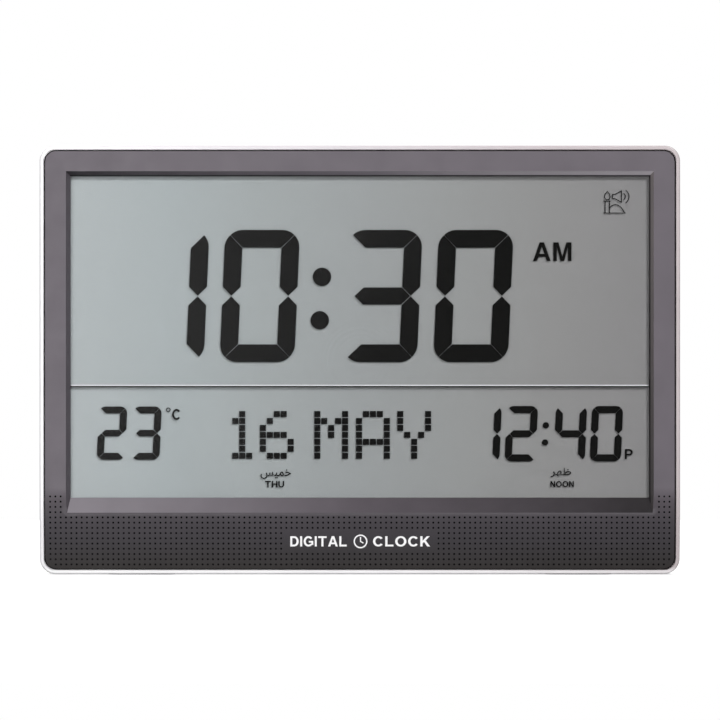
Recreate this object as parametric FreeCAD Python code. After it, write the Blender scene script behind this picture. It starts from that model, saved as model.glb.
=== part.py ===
import FreeCAD, Part
import os
from math import copysign, cos, hypot, pi, radians, sin, sqrt, tan
from FreeCAD import Vector

# Large digital wall and desk clock. Millimetres, +Z up, the display faces -Y.
# Origin: middle of the underside, where the clock stands on its two rubber feet.

# Envelope
WIDTH = 380.0
HEIGHT = 254.7
DEPTH = 34.0
FRONT = -DEPTH / 2
BACK = DEPTH / 2
FOOT_PROUD = 0.4
FOOT_X = (110.0, 150.0)
FOOT_Y = (-7.5, 13.5)
FOOT_SUNK = 1.0
CORNER_R = 9.1

# Side frame: a ring with a ledge behind the bezel and another in front of the rear cover
RIM = 2.2
FRAME_SETBACK = 0.8
FRAME_ROUND = 0.9
LEDGE_WIDTH = 3.2
LEDGE_THICK = 2.0
PANEL_GAP = 0.4

# Bezel and rear cover, which both fill the ring
PANEL_T = 2.5
PANEL_HALF = WIDTH / 2 - RIM - PANEL_GAP
PANEL_Z0 = FOOT_PROUD + RIM + PANEL_GAP
PANEL_Z1 = HEIGHT - RIM - PANEL_GAP
PANEL_R = 7.0
EDGE_ROUND = 0.8
COVER_IN = BACK - PANEL_T
ROOT = 1.5

# Chin: below CHIN_TOP the front bends back, then runs straight down at CHIN_ANGLE
CHIN_TOP = 52.0
CHIN_BEND_END = 30.0
CHIN_ANGLE = radians(10)
CHIN_R = (CHIN_TOP - CHIN_BEND_END) / sin(CHIN_ANGLE)

# Window: outer edge of the bevel on the front face, and the visible opening behind it
WINDOW_OUT_HALF = 174.4
WINDOW_OUT_Z = (34.3, 239.5)
WINDOW_HALF = 171.7
WINDOW_Z = (45.8, 236.5)
WINDOW_DEPTH = 4.0
LIP = 2.0

# Display stack, front to back
LENS_Y = FRONT + WINDOW_DEPTH
LENS_T = 1.0
FOAM_T = 0.6
POLARISER_T = 0.2
GLASS_T = 1.1
GLASS_HALF = 173.6
GLASS_Z = (41.2, 240.4)
LENS_HALF = GLASS_HALF - 0.2
LENS_Z = (42.4, 239.6)
FOAM_Z = (43.4, 239.0)
FOAM_CLEAR = 0.5
FILM_MARGIN = 0.2
CONTACT_LEDGE = 3.1
SPLIT_Z = 111.8
SPLIT_GAP = 0.7
FRONT_GLASS_Y = LENS_Y + LENS_T + FOAM_T
REAR_GLASS_Y = FRONT_GLASS_Y + GLASS_T
REFLECTOR_Y = REAR_GLASS_Y + GLASS_T
TRAY_Y = REFLECTOR_Y + POLARISER_T
TRAY_T = 1.8
TRAY_FIT = 0.4
TRAY_WALL = 2.0
TRAY_WINDOWS = [(x, 72.0, 122.0, 212.0) for x in (-160.0, -80.0, 8.0, 88.0)]
TRAY_WINDOWS += [(x, 40.0, 56.0, 102.0) for x in (-160.0, 120.0)]
BOARD_T = 1.6
BOARD_Y = TRAY_Y + TRAY_T + 1.0
BOARD_BACK = BOARD_Y + BOARD_T
MAIN_BOARD = (-110.0, 110.0, 39.2, 95.0)
DISPLAY_BOARD = (-110.0, 110.0, 218.0, 242.4)
ZEBRA_HALF = 100.0
ZEBRA_W = 2.0

# Screw places as (x, z)
CASE_SCREWS = [(s * x, z) for x, z in ((180, 244.5), (180, 130), (178, 14), (60, 12)) for s in (-1, 1)]
CASE_SCREWS.append((0, 246))
TRAY_SCREWS = [(s * x, z) for x, z in ((110, 246), (180, 190), (180, 70), (120, 35.3)) for s in (-1, 1)]
BOARD_SCREWS = [(s * 104, z) for z in (52, 89, 222) for s in (-1, 1)] + [(0, 89), (0, 222)]
BOSS_R = 3.0
PILOT_R = 1.25
SCREW_R = 1.2
CASE_HEAD_R = 2.8
CASE_HEAD_H = 1.1
CASE_SCREW_L = 10.0
CASE_SEAT_Y = BACK - 1.3
TRAY_HEAD_R = 2.5
TRAY_HEAD_H = 1.6
TRAY_SCREW_L = 5.4

# Small screws, in bosses with pilots, through clearance holes
POST_R = 2.5
SMALL_PILOT_R = 0.9
SMALL_SCREW_R = 0.85
SMALL_CLEAR_R = 1.1
SMALL_HEAD_R = 1.9
SMALL_HEAD_H = 1.2

# Speaker, behind the chin
SPEAKER_X = 100.0
SPEAKER_Z = 22.0
SPEAKER_R = 14.0
SPEAKER_Y = -6.5
SPEAKER_POST = 18.8
SPEAKER_GASKET_T = 0.8
SPEAKER_MESH_T = 0.2
SPEAKER_FLANGE_T = 0.7
SPEAKER_DEPTH = 4.6
SPEAKER_THROAT_R = 3.4
MAGNET_R = 8.0
MAGNET_T = 4.4
GRILLE_PITCH = 3.114
GRILLE_HOLE_R = 0.58
GRILLE_TOP_ROW = 34.1
GRILLE_R = 11.5
GRILLE_REACH = 5
GRILLE_ROWS = 9

# Battery box, four AA cells lying across the clock
CELL_R = 7.1
CELL_CAP_R = 2.75
CELL_CAP_L = 1.4
CELL_LENGTH = 50.5
CELL_PITCH = 14.8
CELL_COUNT = 4
CELL_Y = 7.7
CELL_Z0 = 126.0
BOX_HALF = 29.0
BOX_WALL = 1.6
BOX_FLOOR_Y = 0.4
BOX_EAR_Y = (8.0, 10.0)
BOX_SADDLE_X = (-15.0, 15.0)
BOX_Z = (CELL_Z0 - CELL_PITCH / 2, CELL_Z0 + (CELL_COUNT - 0.5) * CELL_PITCH)
CONTACT_T = 0.4
CONTACT_HALF = 5.0
SPRING_R = 3.2
SPRING_WIRE_R = 0.35
SPRING_TURNS = 4

# Battery door, hung from its top edge
DOOR_HALF = 31.0
DOOR_GAP = 0.3
DOOR_T = 2.0
DOOR_AXIS_Y = BACK - 1.5
DOOR_AXIS_Z = BOX_Z[1] + 4.0
DOOR_BEAD_R = 1.5
DOOR_Z0 = BOX_Z[0] - 3.0
DOOR_PIN_R = 0.8
DOOR_PIN_L = 2.5
DOOR_GRIP_HALF = 9.0
DOOR_GROOVES = 5
DOOR_GROOVE_PITCH = 2.4
LUG_W = 4.0
RUNNING_FIT = 0.05

# Stand leg, folded up into a pocket of the rear cover
LEG_HALF = 30.0
LEG_TOP = 94.0
LEG_AXIS_Y = 13.6
LEG_AXIS_Z = 9.6
LEG_BARREL_R = 2.8
LEG_Y = (12.0, 16.4)
LEG_PIN_R = 1.5
LEG_RIB_X = (-12.0, 0.0, 12.0)
LEG_PAD_X = 22.0
LEG_PAD_R = 4.0
POCKET_HALF = 31.0
POCKET_Z = (5.4, 98.0)
POCKET_FLOOR_Y = 10.4
POCKET_WALL = 1.8

# Key column on the back
KEY_X = 150.0
KEYS = {"mode_button": 186.0, "up_button": 170.0, "down_button": 154.0, "alarm_button": 138.0,
        "zone_button": 122.0}
KEY_R = 4.0
RESET_Z = 107.0
RESET_R = 1.3
SWITCH_Z = 94.0
KEY_PAD = (KEY_X - 10.0, KEY_X + 10.0, 86.0, 196.0)
KEY_PAD_OUT = BACK - 1.6
KEY_PAD_IN = 12.9
KEY_TOP = BACK - 0.3
KEY_FIT = 0.3
KEY_BOARD_Y = 3.2
KEY_BODY_TOP = 8.3
KEY_BODY_HALF = 3.0
KEY_FLANGE = 1.2
STEM_R = 1.6
RESET_STEM_R = 1.2
SWITCH_TRAVEL = 3.5
KEY_SCREWS = [(KEY_X + s * 6.5, z) for s in (-1, 1) for z in (88.6, 192.0)]

# Keyholes for hanging
KEYHOLE_X = 80.0
KEYHOLE_Z = 215.0
KEYHOLE_R = 4.5
KEYHOLE_SLOT_R = 2.2
KEYHOLE_RISE = 9.0

# Vents as (first x, lowest z, highest z, count)
VENTS = ((-160.0, 24.0, 48.0, 8), (90.0, 12.0, 32.0, 5))
VENT_PITCH = 5.0
VENT_HALF = 1.0

# Circuit parts
PLUG_H = 5.0
RIBBON_PLUG_H = 2.4
RIBBON_X = (49.0, 71.0)
LEAD_R = 0.6
FINE_LEAD_R = 0.35
CAPACITORS = ((20.0, 52.0), (28.0, 52.0), (-70.0, 84.0))
CAPACITOR_R = 2.6
CAPACITOR_H = 5.4


def block(x0, x1, y0, y1, z0, z1):
    """Box between two corners, given in any order."""
    low = Vector(min(x0, x1), min(y0, y1), min(z0, z1))
    return Part.makeBox(abs(x1 - x0), abs(y1 - y0), abs(z1 - z0), low)


def rod_y(x, z, r, y0, y1):
    """Round bar along Y, its ends in any order."""
    return Part.makeCylinder(r, abs(y1 - y0), Vector(x, min(y0, y1), z), Vector(0, 1, 0))


def rod_x(y, z, r, x0, x1):
    """Round bar along X, its ends in any order."""
    return Part.makeCylinder(r, abs(x1 - x0), Vector(min(x0, x1), y, z), Vector(1, 0, 0))


def rod_z(x, y, r, z0, z1):
    """Round bar along Z."""
    return Part.makeCylinder(r, z1 - z0, Vector(x, y, z0), Vector(0, 0, 1))


def ring_y(x, z, r_out, r_in, y0, y1):
    """Round tube along Y."""
    return rod_y(x, z, r_out, y0, y1).cut(rod_y(x, z, r_in, y0 - 1, y1 + 1))


def fused(shapes):
    """One solid from several that meet."""
    whole = shapes[0].multiFuse(shapes[1:]) if len(shapes) > 1 else shapes[0]
    return whole.removeSplitter()


def save(name, shape):
    """Write one sub-part, after making sure that it is sound."""
    if not shape.isValid() or shape.Volume <= 0:
        raise ValueError(name + " is not a sound solid")
    shape.exportStep("parts/" + name + ".step")


def rounded_prism(half, z0, z1, r, y0, y1):
    """Upright slab with rounded corners, centred on X."""
    k = r * (1 - sqrt(0.5))
    xs = (-half, half)
    edges = []
    corners = ((xs[1], z0, 1, -1), (xs[1], z1, 1, 1), (xs[0], z1, -1, 1), (xs[0], z0, -1, -1))
    ends = []
    for x, z, sx, sz in corners:
        along = Vector(x - sx * r, y0, z)
        up = Vector(x, y0, z - sz * r)
        middle = Vector(x - sx * k, y0, z - sz * k)
        first, last = (along, up) if sx * sz < 0 else (up, along)
        ends.append((first, last))
        edges.append(Part.Arc(first, middle, last).toShape())
    for i in range(4):
        edges.insert(2 * i + 1, Part.LineSegment(ends[i][1], ends[(i + 1) % 4][0]).toShape())
    return Part.Face(Part.Wire(edges)).extrude(Vector(0, y1 - y0, 0))


def rectangle(half, z0, z1, y):
    """Rectangular wire in an upright plane."""
    return Part.makePolygon([Vector(-half, y, z0), Vector(half, y, z0), Vector(half, y, z1),
                             Vector(-half, y, z1), Vector(-half, y, z0)])


def setback(z):
    """How far the front face lies behind FRONT at height z."""
    if z >= CHIN_TOP:
        return 0.0
    if z >= CHIN_BEND_END:
        return CHIN_R - sqrt(CHIN_R ** 2 - (CHIN_TOP - z) ** 2)
    return CHIN_R * (1 - cos(CHIN_ANGLE)) + (CHIN_BEND_END - z) * tan(CHIN_ANGLE)


def profile(depth, z_top, z_bottom):
    """Edges of the front face's side view, moved back by depth, from top to bottom."""
    def at(z):
        return Vector(-WIDTH, FRONT + depth + setback(z), z)
    bend_mid = CHIN_TOP - CHIN_R * sin(CHIN_ANGLE / 2)
    return [Part.LineSegment(at(z_top), at(CHIN_TOP)).toShape(),
            Part.Arc(at(CHIN_TOP), at(bend_mid), at(CHIN_BEND_END)).toShape(),
            Part.LineSegment(at(CHIN_BEND_END), at(z_bottom)).toShape()]


def layer(depth, thickness):
    """Everything between the front face moved back by depth and a further thickness."""
    z_top, z_bottom = HEIGHT + 10, -10
    near = profile(depth, z_top, z_bottom)
    far = profile(depth + thickness, z_top, z_bottom)
    top = Part.LineSegment(near[0].valueAt(near[0].FirstParameter), far[0].valueAt(far[0].FirstParameter))
    low = Part.LineSegment(near[2].valueAt(near[2].LastParameter), far[2].valueAt(far[2].LastParameter))
    wire = Part.Wire(Part.__sortEdges__(near + far + [top.toShape(), low.toShape()]))
    return Part.Face(wire).extrude(Vector(2 * WIDTH, 0, 0))


def panel_prism(y0, y1, shrink=0.0):
    """Outline shared by the bezel and the rear cover."""
    return rounded_prism(PANEL_HALF - shrink, PANEL_Z0 + shrink, PANEL_Z1 - shrink, PANEL_R - shrink, y0, y1)


def rounded_front(body):
    """Round the outer edge of a bezel blank where it meets the front face."""
    edges = []
    for edge in body.Edges:
        mid = edge.valueAt((edge.FirstParameter + edge.LastParameter) / 2)
        on_front = abs(mid.y - FRONT - setback(mid.z)) < 0.02
        across = abs(mid.x) < 1 and PANEL_Z0 + 1 < mid.z < PANEL_Z1 - 1
        if on_front and not across:
            edges.append(edge)
    return body.makeFillet(EDGE_ROUND, edges)


def window_cutter(grow):
    """Tapered block that leaves the bevelled window, or its outer wall when grown."""
    front = rectangle(WINDOW_OUT_HALF + grow, WINDOW_OUT_Z[0] - grow, WINDOW_OUT_Z[1] + grow, FRONT)
    rear = rectangle(WINDOW_HALF + grow, WINDOW_Z[0] - grow, WINDOW_Z[1] + grow, LENS_Y)
    return Part.makeLoft([front, rear], True, True)


def boss(x, z, r, y_end):
    """Screw boss that grows out of the bezel's inner face."""
    return rod_y(x, z, r, FRONT + setback(z) + ROOT, y_end)


def grille_holes():
    """Sound holes in front of the speaker, on the grid that covers the whole chin."""
    holes = []
    column = round(SPEAKER_X / GRILLE_PITCH)
    for i in range(column - GRILLE_REACH, column + GRILLE_REACH + 1):
        for k in range(GRILLE_ROWS):
            x = i * GRILLE_PITCH
            z = GRILLE_TOP_ROW - k * GRILLE_PITCH
            if hypot(x - SPEAKER_X, z - SPEAKER_Z) < GRILLE_R:
                holes.append(rod_y(x, z, GRILLE_HOLE_R, FRONT - 1, 0))
    return holes


def speaker_seat():
    """Collar and two screw posts that hold the speaker to the bezel."""
    fit, shelf = 0.2, 2.0
    r_out = SPEAKER_R + 1.2
    y_shelf = SPEAKER_Y - SPEAKER_GASKET_T - SPEAKER_MESH_T
    collar = ring_y(SPEAKER_X, SPEAKER_Z, r_out, SPEAKER_R - shelf, FRONT, y_shelf)
    guide = ring_y(SPEAKER_X, SPEAKER_Z, r_out, SPEAKER_R + fit, y_shelf, SPEAKER_Y + 0.6)
    posts = [rod_y(x, SPEAKER_Z, POST_R, FRONT, SPEAKER_Y + 0.8) for x in speaker_screw_places()]
    return fused([collar, guide] + posts).common(layer(ROOT, DEPTH))


def speaker_screw_places():
    """X of the two clamp screws beside the speaker."""
    return [SPEAKER_X + s * SPEAKER_POST for s in (-1, 1)]


def make_front_bezel():
    """Moulded front panel with its window, screw bosses, speaker seat and sound holes."""
    plate = rounded_front(panel_prism(FRONT - 1, BACK).common(layer(0, PANEL_T)))
    funnel = window_cutter(LIP).common(layer(ROOT, DEPTH))
    bosses = [boss(x, z, BOSS_R, COVER_IN) for x, z in CASE_SCREWS]
    bosses += [boss(x, z, BOSS_R, TRAY_Y) for x, z in TRAY_SCREWS]
    body = fused([plate, funnel, speaker_seat()] + bosses)
    cuts = [window_cutter(0), block(-WINDOW_HALF, WINDOW_HALF, LENS_Y - 0.1, LENS_Y + 1, *WINDOW_Z)]
    cuts.append(block(-WINDOW_OUT_HALF, WINDOW_OUT_HALF, FRONT - 1, FRONT, *WINDOW_OUT_Z))
    cuts += [rod_y(x, z, PILOT_R, COVER_IN - 12, COVER_IN + 1) for x, z in CASE_SCREWS]
    cuts += [rod_y(x, z, PILOT_R, TRAY_Y - 4.0, TRAY_Y + 1) for x, z in TRAY_SCREWS]
    cuts += [rod_y(x, SPEAKER_Z, SMALL_PILOT_R, SPEAKER_Y - 3.2, 0) for x in speaker_screw_places()]
    return body.cut(cuts + grille_holes())


def rounded_ring(ring):
    """Round the frame's outer edges, front and rear."""
    near, skin = 0.02, 0.05
    core = rounded_prism(WIDTH / 2 - skin, FOOT_PROUD + skin, HEIGHT - skin, CORNER_R, FRONT - 5, BACK + 5)
    edges = []
    for edge in ring.Edges:
        mid = edge.valueAt((edge.FirstParameter + edge.LastParameter) / 2)
        at_rear = mid.y > BACK - FRAME_SETBACK - near
        at_front = mid.y < FRONT + FRAME_SETBACK + setback(mid.z) + near
        if (at_rear or at_front) and not core.isInside(mid, 0.001, True):
            edges.append(edge)
    return ring.makeFillet(FRAME_ROUND, edges)


def make_side_frame():
    """Silver ring with two inner ledges, pockets for the feet and a gap for the stand."""
    z0, z1 = FOOT_PROUD, HEIGHT
    inner = rounded_prism(WIDTH / 2 - RIM, z0 + RIM, z1 - RIM, CORNER_R - RIM, FRONT - 5, BACK + 5)
    ring = rounded_prism(WIDTH / 2, z0, z1, CORNER_R, FRONT - 1, BACK - FRAME_SETBACK).cut(inner)
    ring = rounded_ring(ring.common(layer(FRAME_SETBACK, 2 * DEPTH)))
    core = rounded_prism(WIDTH / 2 - RIM - LEDGE_WIDTH, z0 + RIM + LEDGE_WIDTH, z1 - RIM - LEDGE_WIDTH,
                         CORNER_R - RIM - LEDGE_WIDTH, FRONT - 5, BACK + 5)
    band = inner.cut(core)
    front_ledge = band.common(layer(PANEL_T, LEDGE_THICK))
    rear_ledge = band.common(block(-WIDTH, WIDTH, COVER_IN - LEDGE_THICK, COVER_IN, 0, HEIGHT))
    body = fused([ring, front_ledge, rear_ledge])
    stand_gap = block(-POCKET_HALF - 3, POCKET_HALF + 3, 7.0, BACK + 1, z0 + RIM, z0 + RIM + LEDGE_WIDTH + 1)
    return body.cut([stand_gap] + [foot_block(s, FOOT_PROUD + FOOT_SUNK) for s in (-1, 1)])


def foot_block(side, z_top):
    """Long rubber foot, rounded at its ends, under the frame."""
    y0, y1 = FOOT_Y
    r = (y1 - y0) / 2
    xs = [side * (FOOT_X[0] + r), side * (FOOT_X[1] - r)]
    bar = block(xs[0], xs[1], y0, y1, 0, z_top)
    ends = [rod_z(x, (y0 + y1) / 2, r, 0, z_top) for x in xs]
    return fused([bar] + ends)


def make_rubber_feet():
    """Two rubber feet let into the frame's underside."""
    return Part.makeCompound([foot_block(s, FOOT_PROUD + FOOT_SUNK) for s in (-1, 1)])


def keyhole(x):
    """Hanging keyhole: round entry with a narrow slot rising from it."""
    z_end = KEYHOLE_Z + KEYHOLE_RISE
    entry = rod_y(x, KEYHOLE_Z, KEYHOLE_R, COVER_IN - 1, BACK + 1)
    slot = block(x - KEYHOLE_SLOT_R, x + KEYHOLE_SLOT_R, COVER_IN - 1, BACK + 1, KEYHOLE_Z, z_end)
    end = rod_y(x, z_end, KEYHOLE_SLOT_R, COVER_IN - 1, BACK + 1)
    return fused([entry, slot, end])


def vents(x0, z0, z1, count):
    """Row of upright vent slots through the rear cover."""
    middles = [x0 + i * VENT_PITCH for i in range(count)]
    return [block(x - VENT_HALF, x + VENT_HALF, COVER_IN - 1, BACK + 1, z0, z1) for x in middles]


def stand_pocket():
    """Outer block and hollow of the pocket that the stand leg folds into."""
    z0, z1 = POCKET_Z
    outer = block(-POCKET_HALF - POCKET_WALL, POCKET_HALF + POCKET_WALL, POCKET_FLOOR_Y - POCKET_WALL,
                  COVER_IN + 0.5, z0 - POCKET_WALL, z1 + POCKET_WALL)
    hollow = block(-POCKET_HALF, POCKET_HALF, POCKET_FLOOR_Y, BACK + 1, z0, z1)
    return outer, hollow


def door_opening():
    """Gap in the rear cover that the battery door fills."""
    grip = block(-DOOR_GRIP_HALF, DOOR_GRIP_HALF, BACK - 1.6, BACK + 1, DOOR_Z0 - 7, DOOR_Z0)
    gap = block(-DOOR_HALF - DOOR_GAP, DOOR_HALF + DOOR_GAP, COVER_IN - 1, BACK + 1,
                DOOR_Z0 - DOOR_GAP, DOOR_AXIS_Z + DOOR_BEAD_R + DOOR_GAP)
    return [gap, grip]


def hinge_lugs():
    """Two lugs behind the rear cover that carry the battery door's pins."""
    x0, half_h = DOOR_HALF + DOOR_GAP, 3.0
    return [block(s * x0, s * (x0 + LUG_W), COVER_IN - 1.5, COVER_IN + 0.5,
                  DOOR_AXIS_Z - half_h, DOOR_AXIS_Z + half_h) for s in (-1, 1)]


def make_rear_cover():
    """Rear moulding with keyholes, vents, stand pocket, key recess and door opening."""
    plate = panel_prism(COVER_IN, BACK)
    rim = [e for e in plate.Edges if all(abs(v.Point.y - BACK) < 0.01 for v in e.Vertexes)]
    plate = plate.makeFillet(EDGE_ROUND, rim)
    outer, hollow = stand_pocket()
    wall = 2.0
    pad = block(KEY_PAD[0] - wall, KEY_PAD[1] + wall, KEY_PAD_IN, COVER_IN + 0.5,
                KEY_PAD[2] - wall, KEY_PAD[3] + wall)
    posts = [rod_y(x, z, POST_R, KEY_BOARD_Y + BOARD_T, COVER_IN + 0.5) for x, z in KEY_SCREWS]
    posts += [rod_y(x, z, POST_R, BOX_EAR_Y[1], COVER_IN + 0.5) for x, z in box_screw_places()]
    body = fused([plate, outer, pad] + posts + hinge_lugs())
    cuts = [hollow] + [keyhole(s * KEYHOLE_X) for s in (-1, 1)] + door_opening()
    for row in VENTS:
        cuts += vents(*row)
    return body.cut(cuts + key_recess() + cover_bores())


def key_recess():
    """Recess for the key column, with its button holes and the slide switch's slot."""
    y0, y1 = KEY_PAD_IN - 1, BACK + 1
    cuts = [block(KEY_PAD[0], KEY_PAD[1], KEY_PAD_OUT, y1, KEY_PAD[2], KEY_PAD[3])]
    cuts += [rod_y(KEY_X, z, KEY_R + KEY_FIT, y0, y1) for z in KEYS.values()]
    cuts.append(rod_y(KEY_X, RESET_Z, RESET_R + KEY_FIT, y0, y1))
    slot_half, slot_high = 4.4, 1.8
    cuts.append(block(KEY_X - slot_half, KEY_X + slot_half, y0, y1, SWITCH_Z - slot_high, SWITCH_Z + slot_high))
    return cuts


def cover_bores():
    """Screw and hinge bores of the rear cover."""
    clear_r, counterbore_r = 1.5, 3.2
    cuts = [rod_y(x, z, clear_r, COVER_IN - 1, BACK + 1) for x, z in CASE_SCREWS]
    cuts += [rod_y(x, z, counterbore_r, CASE_SEAT_Y, BACK + 1) for x, z in CASE_SCREWS]
    cuts += [rod_y(x, z, SMALL_PILOT_R, 0, 10) for x, z in KEY_SCREWS]
    cuts += [rod_y(x, z, SMALL_PILOT_R, 0, 14) for x, z in box_screw_places()]
    door_reach = DOOR_HALF + DOOR_PIN_L + 0.5
    cuts.append(rod_x(DOOR_AXIS_Y, DOOR_AXIS_Z, DOOR_PIN_R + RUNNING_FIT, -door_reach, door_reach))
    leg_reach = POCKET_HALF + POCKET_WALL + 1
    cuts.append(rod_x(LEG_AXIS_Y, LEG_AXIS_Z, LEG_PIN_R, -leg_reach, leg_reach))
    return cuts


def make_display_lens():
    """Clear sheet behind the window."""
    return block(-LENS_HALF, LENS_HALF, LENS_Y, LENS_Y + LENS_T, *LENS_Z)


def make_foam_gasket():
    """Foam ring between the lens and the front glasses."""
    y0, y1 = LENS_Y + LENS_T, FRONT_GLASS_Y
    in_x = WINDOW_HALF + FOAM_CLEAR
    outer = block(-LENS_HALF, LENS_HALF, y0, y1, *FOAM_Z)
    return outer.cut(block(-in_x, in_x, y0 - 1, y1 + 1, WINDOW_Z[0] - FOAM_CLEAR, WINDOW_Z[1] + FOAM_CLEAR))


def make_display(name, z0, z1, ledge_up):
    """Four layers of one LCD: polariser, two glasses and the reflecting rear polariser."""
    inner0 = z0 if ledge_up else z0 + CONTACT_LEDGE
    inner1 = z1 - CONTACT_LEDGE if ledge_up else z1
    film = WINDOW_HALF + FILM_MARGIN
    front_film0 = z0 + FILM_MARGIN if ledge_up else inner0 + 1.0
    front_film1 = inner1 - 0.4 if ledge_up else z1 - FILM_MARGIN
    save(name + "_front_polariser",
         block(-film, film, FRONT_GLASS_Y - POLARISER_T, FRONT_GLASS_Y, front_film0, front_film1))
    save(name + "_front_glass", block(-GLASS_HALF, GLASS_HALF, FRONT_GLASS_Y, REAR_GLASS_Y, z0, z1))
    save(name + "_rear_glass", block(-GLASS_HALF, GLASS_HALF, REAR_GLASS_Y, REFLECTOR_Y, inner0, inner1))
    save(name + "_reflector",
         block(-GLASS_HALF, GLASS_HALF, REFLECTOR_Y, TRAY_Y, inner0 + FILM_MARGIN, inner1 - FILM_MARGIN))


def tray_ear(x, z):
    """Screw ear of the tray, joined to its nearest wall."""
    r = BOSS_R
    x_wall = GLASS_HALF + TRAY_FIT + TRAY_WALL / 2
    y0, y1 = TRAY_Y, TRAY_Y + TRAY_T
    if abs(x) > x_wall:
        arm = block(x, copysign(x_wall, x), y0, y1, z - r, z + r)
    else:
        z_wall = GLASS_Z[1] if z > SPLIT_Z else GLASS_Z[0]
        arm = block(x - r, x + r, y0, y1, z, z_wall)
    return fused([arm, rod_y(x, z, r, y0, y1)])


def make_lcd_carrier():
    """Tray behind both LCDs: walls round the glass, a rib between them, board standoffs."""
    in_x = GLASS_HALF + TRAY_FIT
    in_z = (GLASS_Z[0] - TRAY_FIT, GLASS_Z[1] + TRAY_FIT)
    w = TRAY_WALL
    y_wall = LENS_Y + 0.2
    outer = block(-in_x - w, in_x + w, y_wall, TRAY_Y + TRAY_T, in_z[0] - w, in_z[1] + w)
    tray = outer.cut(block(-in_x, in_x, y_wall - 1, TRAY_Y, in_z[0], in_z[1]))
    rib = block(-in_x, in_x, LENS_Y + LENS_T, TRAY_Y + 0.1, SPLIT_Z - SPLIT_GAP / 2, SPLIT_Z + SPLIT_GAP / 2)
    foam_clear = [block(s * in_x, s * WINDOW_HALF, LENS_Y, FRONT_GLASS_Y, SPLIT_Z - 1, SPLIT_Z + 1)
                  for s in (-1, 1)]
    standoffs = [rod_y(x, z, BOSS_R, TRAY_Y + TRAY_T, BOARD_Y) for x, z in BOARD_SCREWS]
    body = fused([tray, rib.cut(foam_clear)] + standoffs + [tray_ear(x, z) for x, z in TRAY_SCREWS])
    cuts = [block(x, x + wide, TRAY_Y - 1, BOARD_Y, z0, z1) for x, wide, z0, z1 in TRAY_WINDOWS]
    cuts += [zebra_block(z, 1.0, 0.6, TRAY_Y - 1, BOARD_Y) for z in zebra_places()]
    cuts += [rod_y(x, z, SCREW_R + 0.15, TRAY_Y - 1, BOARD_Y) for x, z in TRAY_SCREWS]
    cuts += [rod_y(x, z, SMALL_PILOT_R, TRAY_Y + 0.4, BOARD_Y + 1) for x, z in BOARD_SCREWS]
    return body.cut(cuts)


def zebra_places():
    """Heights of the two elastomer connectors, calendar first."""
    return GLASS_Z[0] + CONTACT_LEDGE / 2, GLASS_Z[1] - CONTACT_LEDGE / 2


def zebra_block(z, grow_x, grow_z, y0, y1):
    """Strip on the contact ledge at height z."""
    half = ZEBRA_HALF + grow_x
    return block(-half, half, y0, y1, z - ZEBRA_W / 2 - grow_z / 2, z + ZEBRA_W / 2 + grow_z / 2)


def make_board(bounds, screws):
    """Printed circuit board with clearance holes for its screws."""
    x0, x1, z0, z1 = bounds
    board = block(x0, x1, BOARD_Y, BOARD_BACK, z0, z1)
    return board.cut([rod_y(x, z, SMALL_CLEAR_R, BOARD_Y - 1, BOARD_BACK + 1) for x, z in screws])


def make_chip(x, z, size_x, size_z, height, pins_x, pins_z):
    """Moulded chip with rows of short legs and a pin-one dot, on the back of a board."""
    lift, leg_w, leg_t, leg_out, pitch = 0.1, 0.3, 0.4, 0.8, 0.8
    dot_r, dot_in, dot_deep = 0.5, 1.4, 0.15
    top = BOARD_BACK + height
    half_x, half_z = size_x / 2, size_z / 2
    body = block(x - half_x, x + half_x, BOARD_BACK + lift, top, z - half_z, z + half_z)
    dot = rod_y(x - half_x + dot_in, z + half_z - dot_in, dot_r, top - dot_deep, top + 1)
    legs = []
    for i in range(pins_x):
        px = x + (i - (pins_x - 1) / 2) * pitch
        reach = half_z + leg_out
        legs.append(block(px - leg_w / 2, px + leg_w / 2, BOARD_BACK, BOARD_BACK + leg_t, z - reach, z + reach))
    for i in range(pins_z):
        pz = z + (i - (pins_z - 1) / 2) * pitch
        reach = half_x + leg_out
        legs.append(block(x - reach, x + reach, BOARD_BACK, BOARD_BACK + leg_t, pz - leg_w / 2, pz + leg_w / 2))
    return fused([body] + legs).cut(dot)


def screw(x, z, y_head, head_r, head_h, length, shank_r, back_side):
    """Cross-head screw whose head's seat is at y_head; back_side screws are driven towards -Y."""
    out = 1 if back_side else -1
    y_top = y_head + out * head_h
    head = rod_y(x, z, head_r, y_head, y_top)
    shank = rod_y(x, z, shank_r, y_head, y_head - out * length)
    arm, half_w, depth = head_r * 0.55, head_r * 0.13, head_h * 0.6
    y0, y1 = y_top - out * depth, y_top + out
    slots = [block(x - arm, x + arm, y0, y1, z - half_w, z + half_w),
             block(x - half_w, x + half_w, y0, y1, z - arm, z + arm)]
    return fused([head, shank]).cut(slots)


def small_screw(x, z, y_head, length, back_side):
    """Screw of the small size."""
    return screw(x, z, y_head, SMALL_HEAD_R, SMALL_HEAD_H, length, SMALL_SCREW_R, back_side)


def make_case_screws():
    """Screws through the rear cover into the bezel's long bosses."""
    return Part.makeCompound([screw(x, z, CASE_SEAT_Y, CASE_HEAD_R, CASE_HEAD_H, CASE_SCREW_L, SCREW_R, True)
                              for x, z in CASE_SCREWS])


def make_tray_screws():
    """Screws that hold the LCD tray to the bezel."""
    return Part.makeCompound([screw(x, z, TRAY_Y + TRAY_T, TRAY_HEAD_R, TRAY_HEAD_H, TRAY_SCREW_L, SCREW_R, True)
                              for x, z in TRAY_SCREWS])


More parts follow.
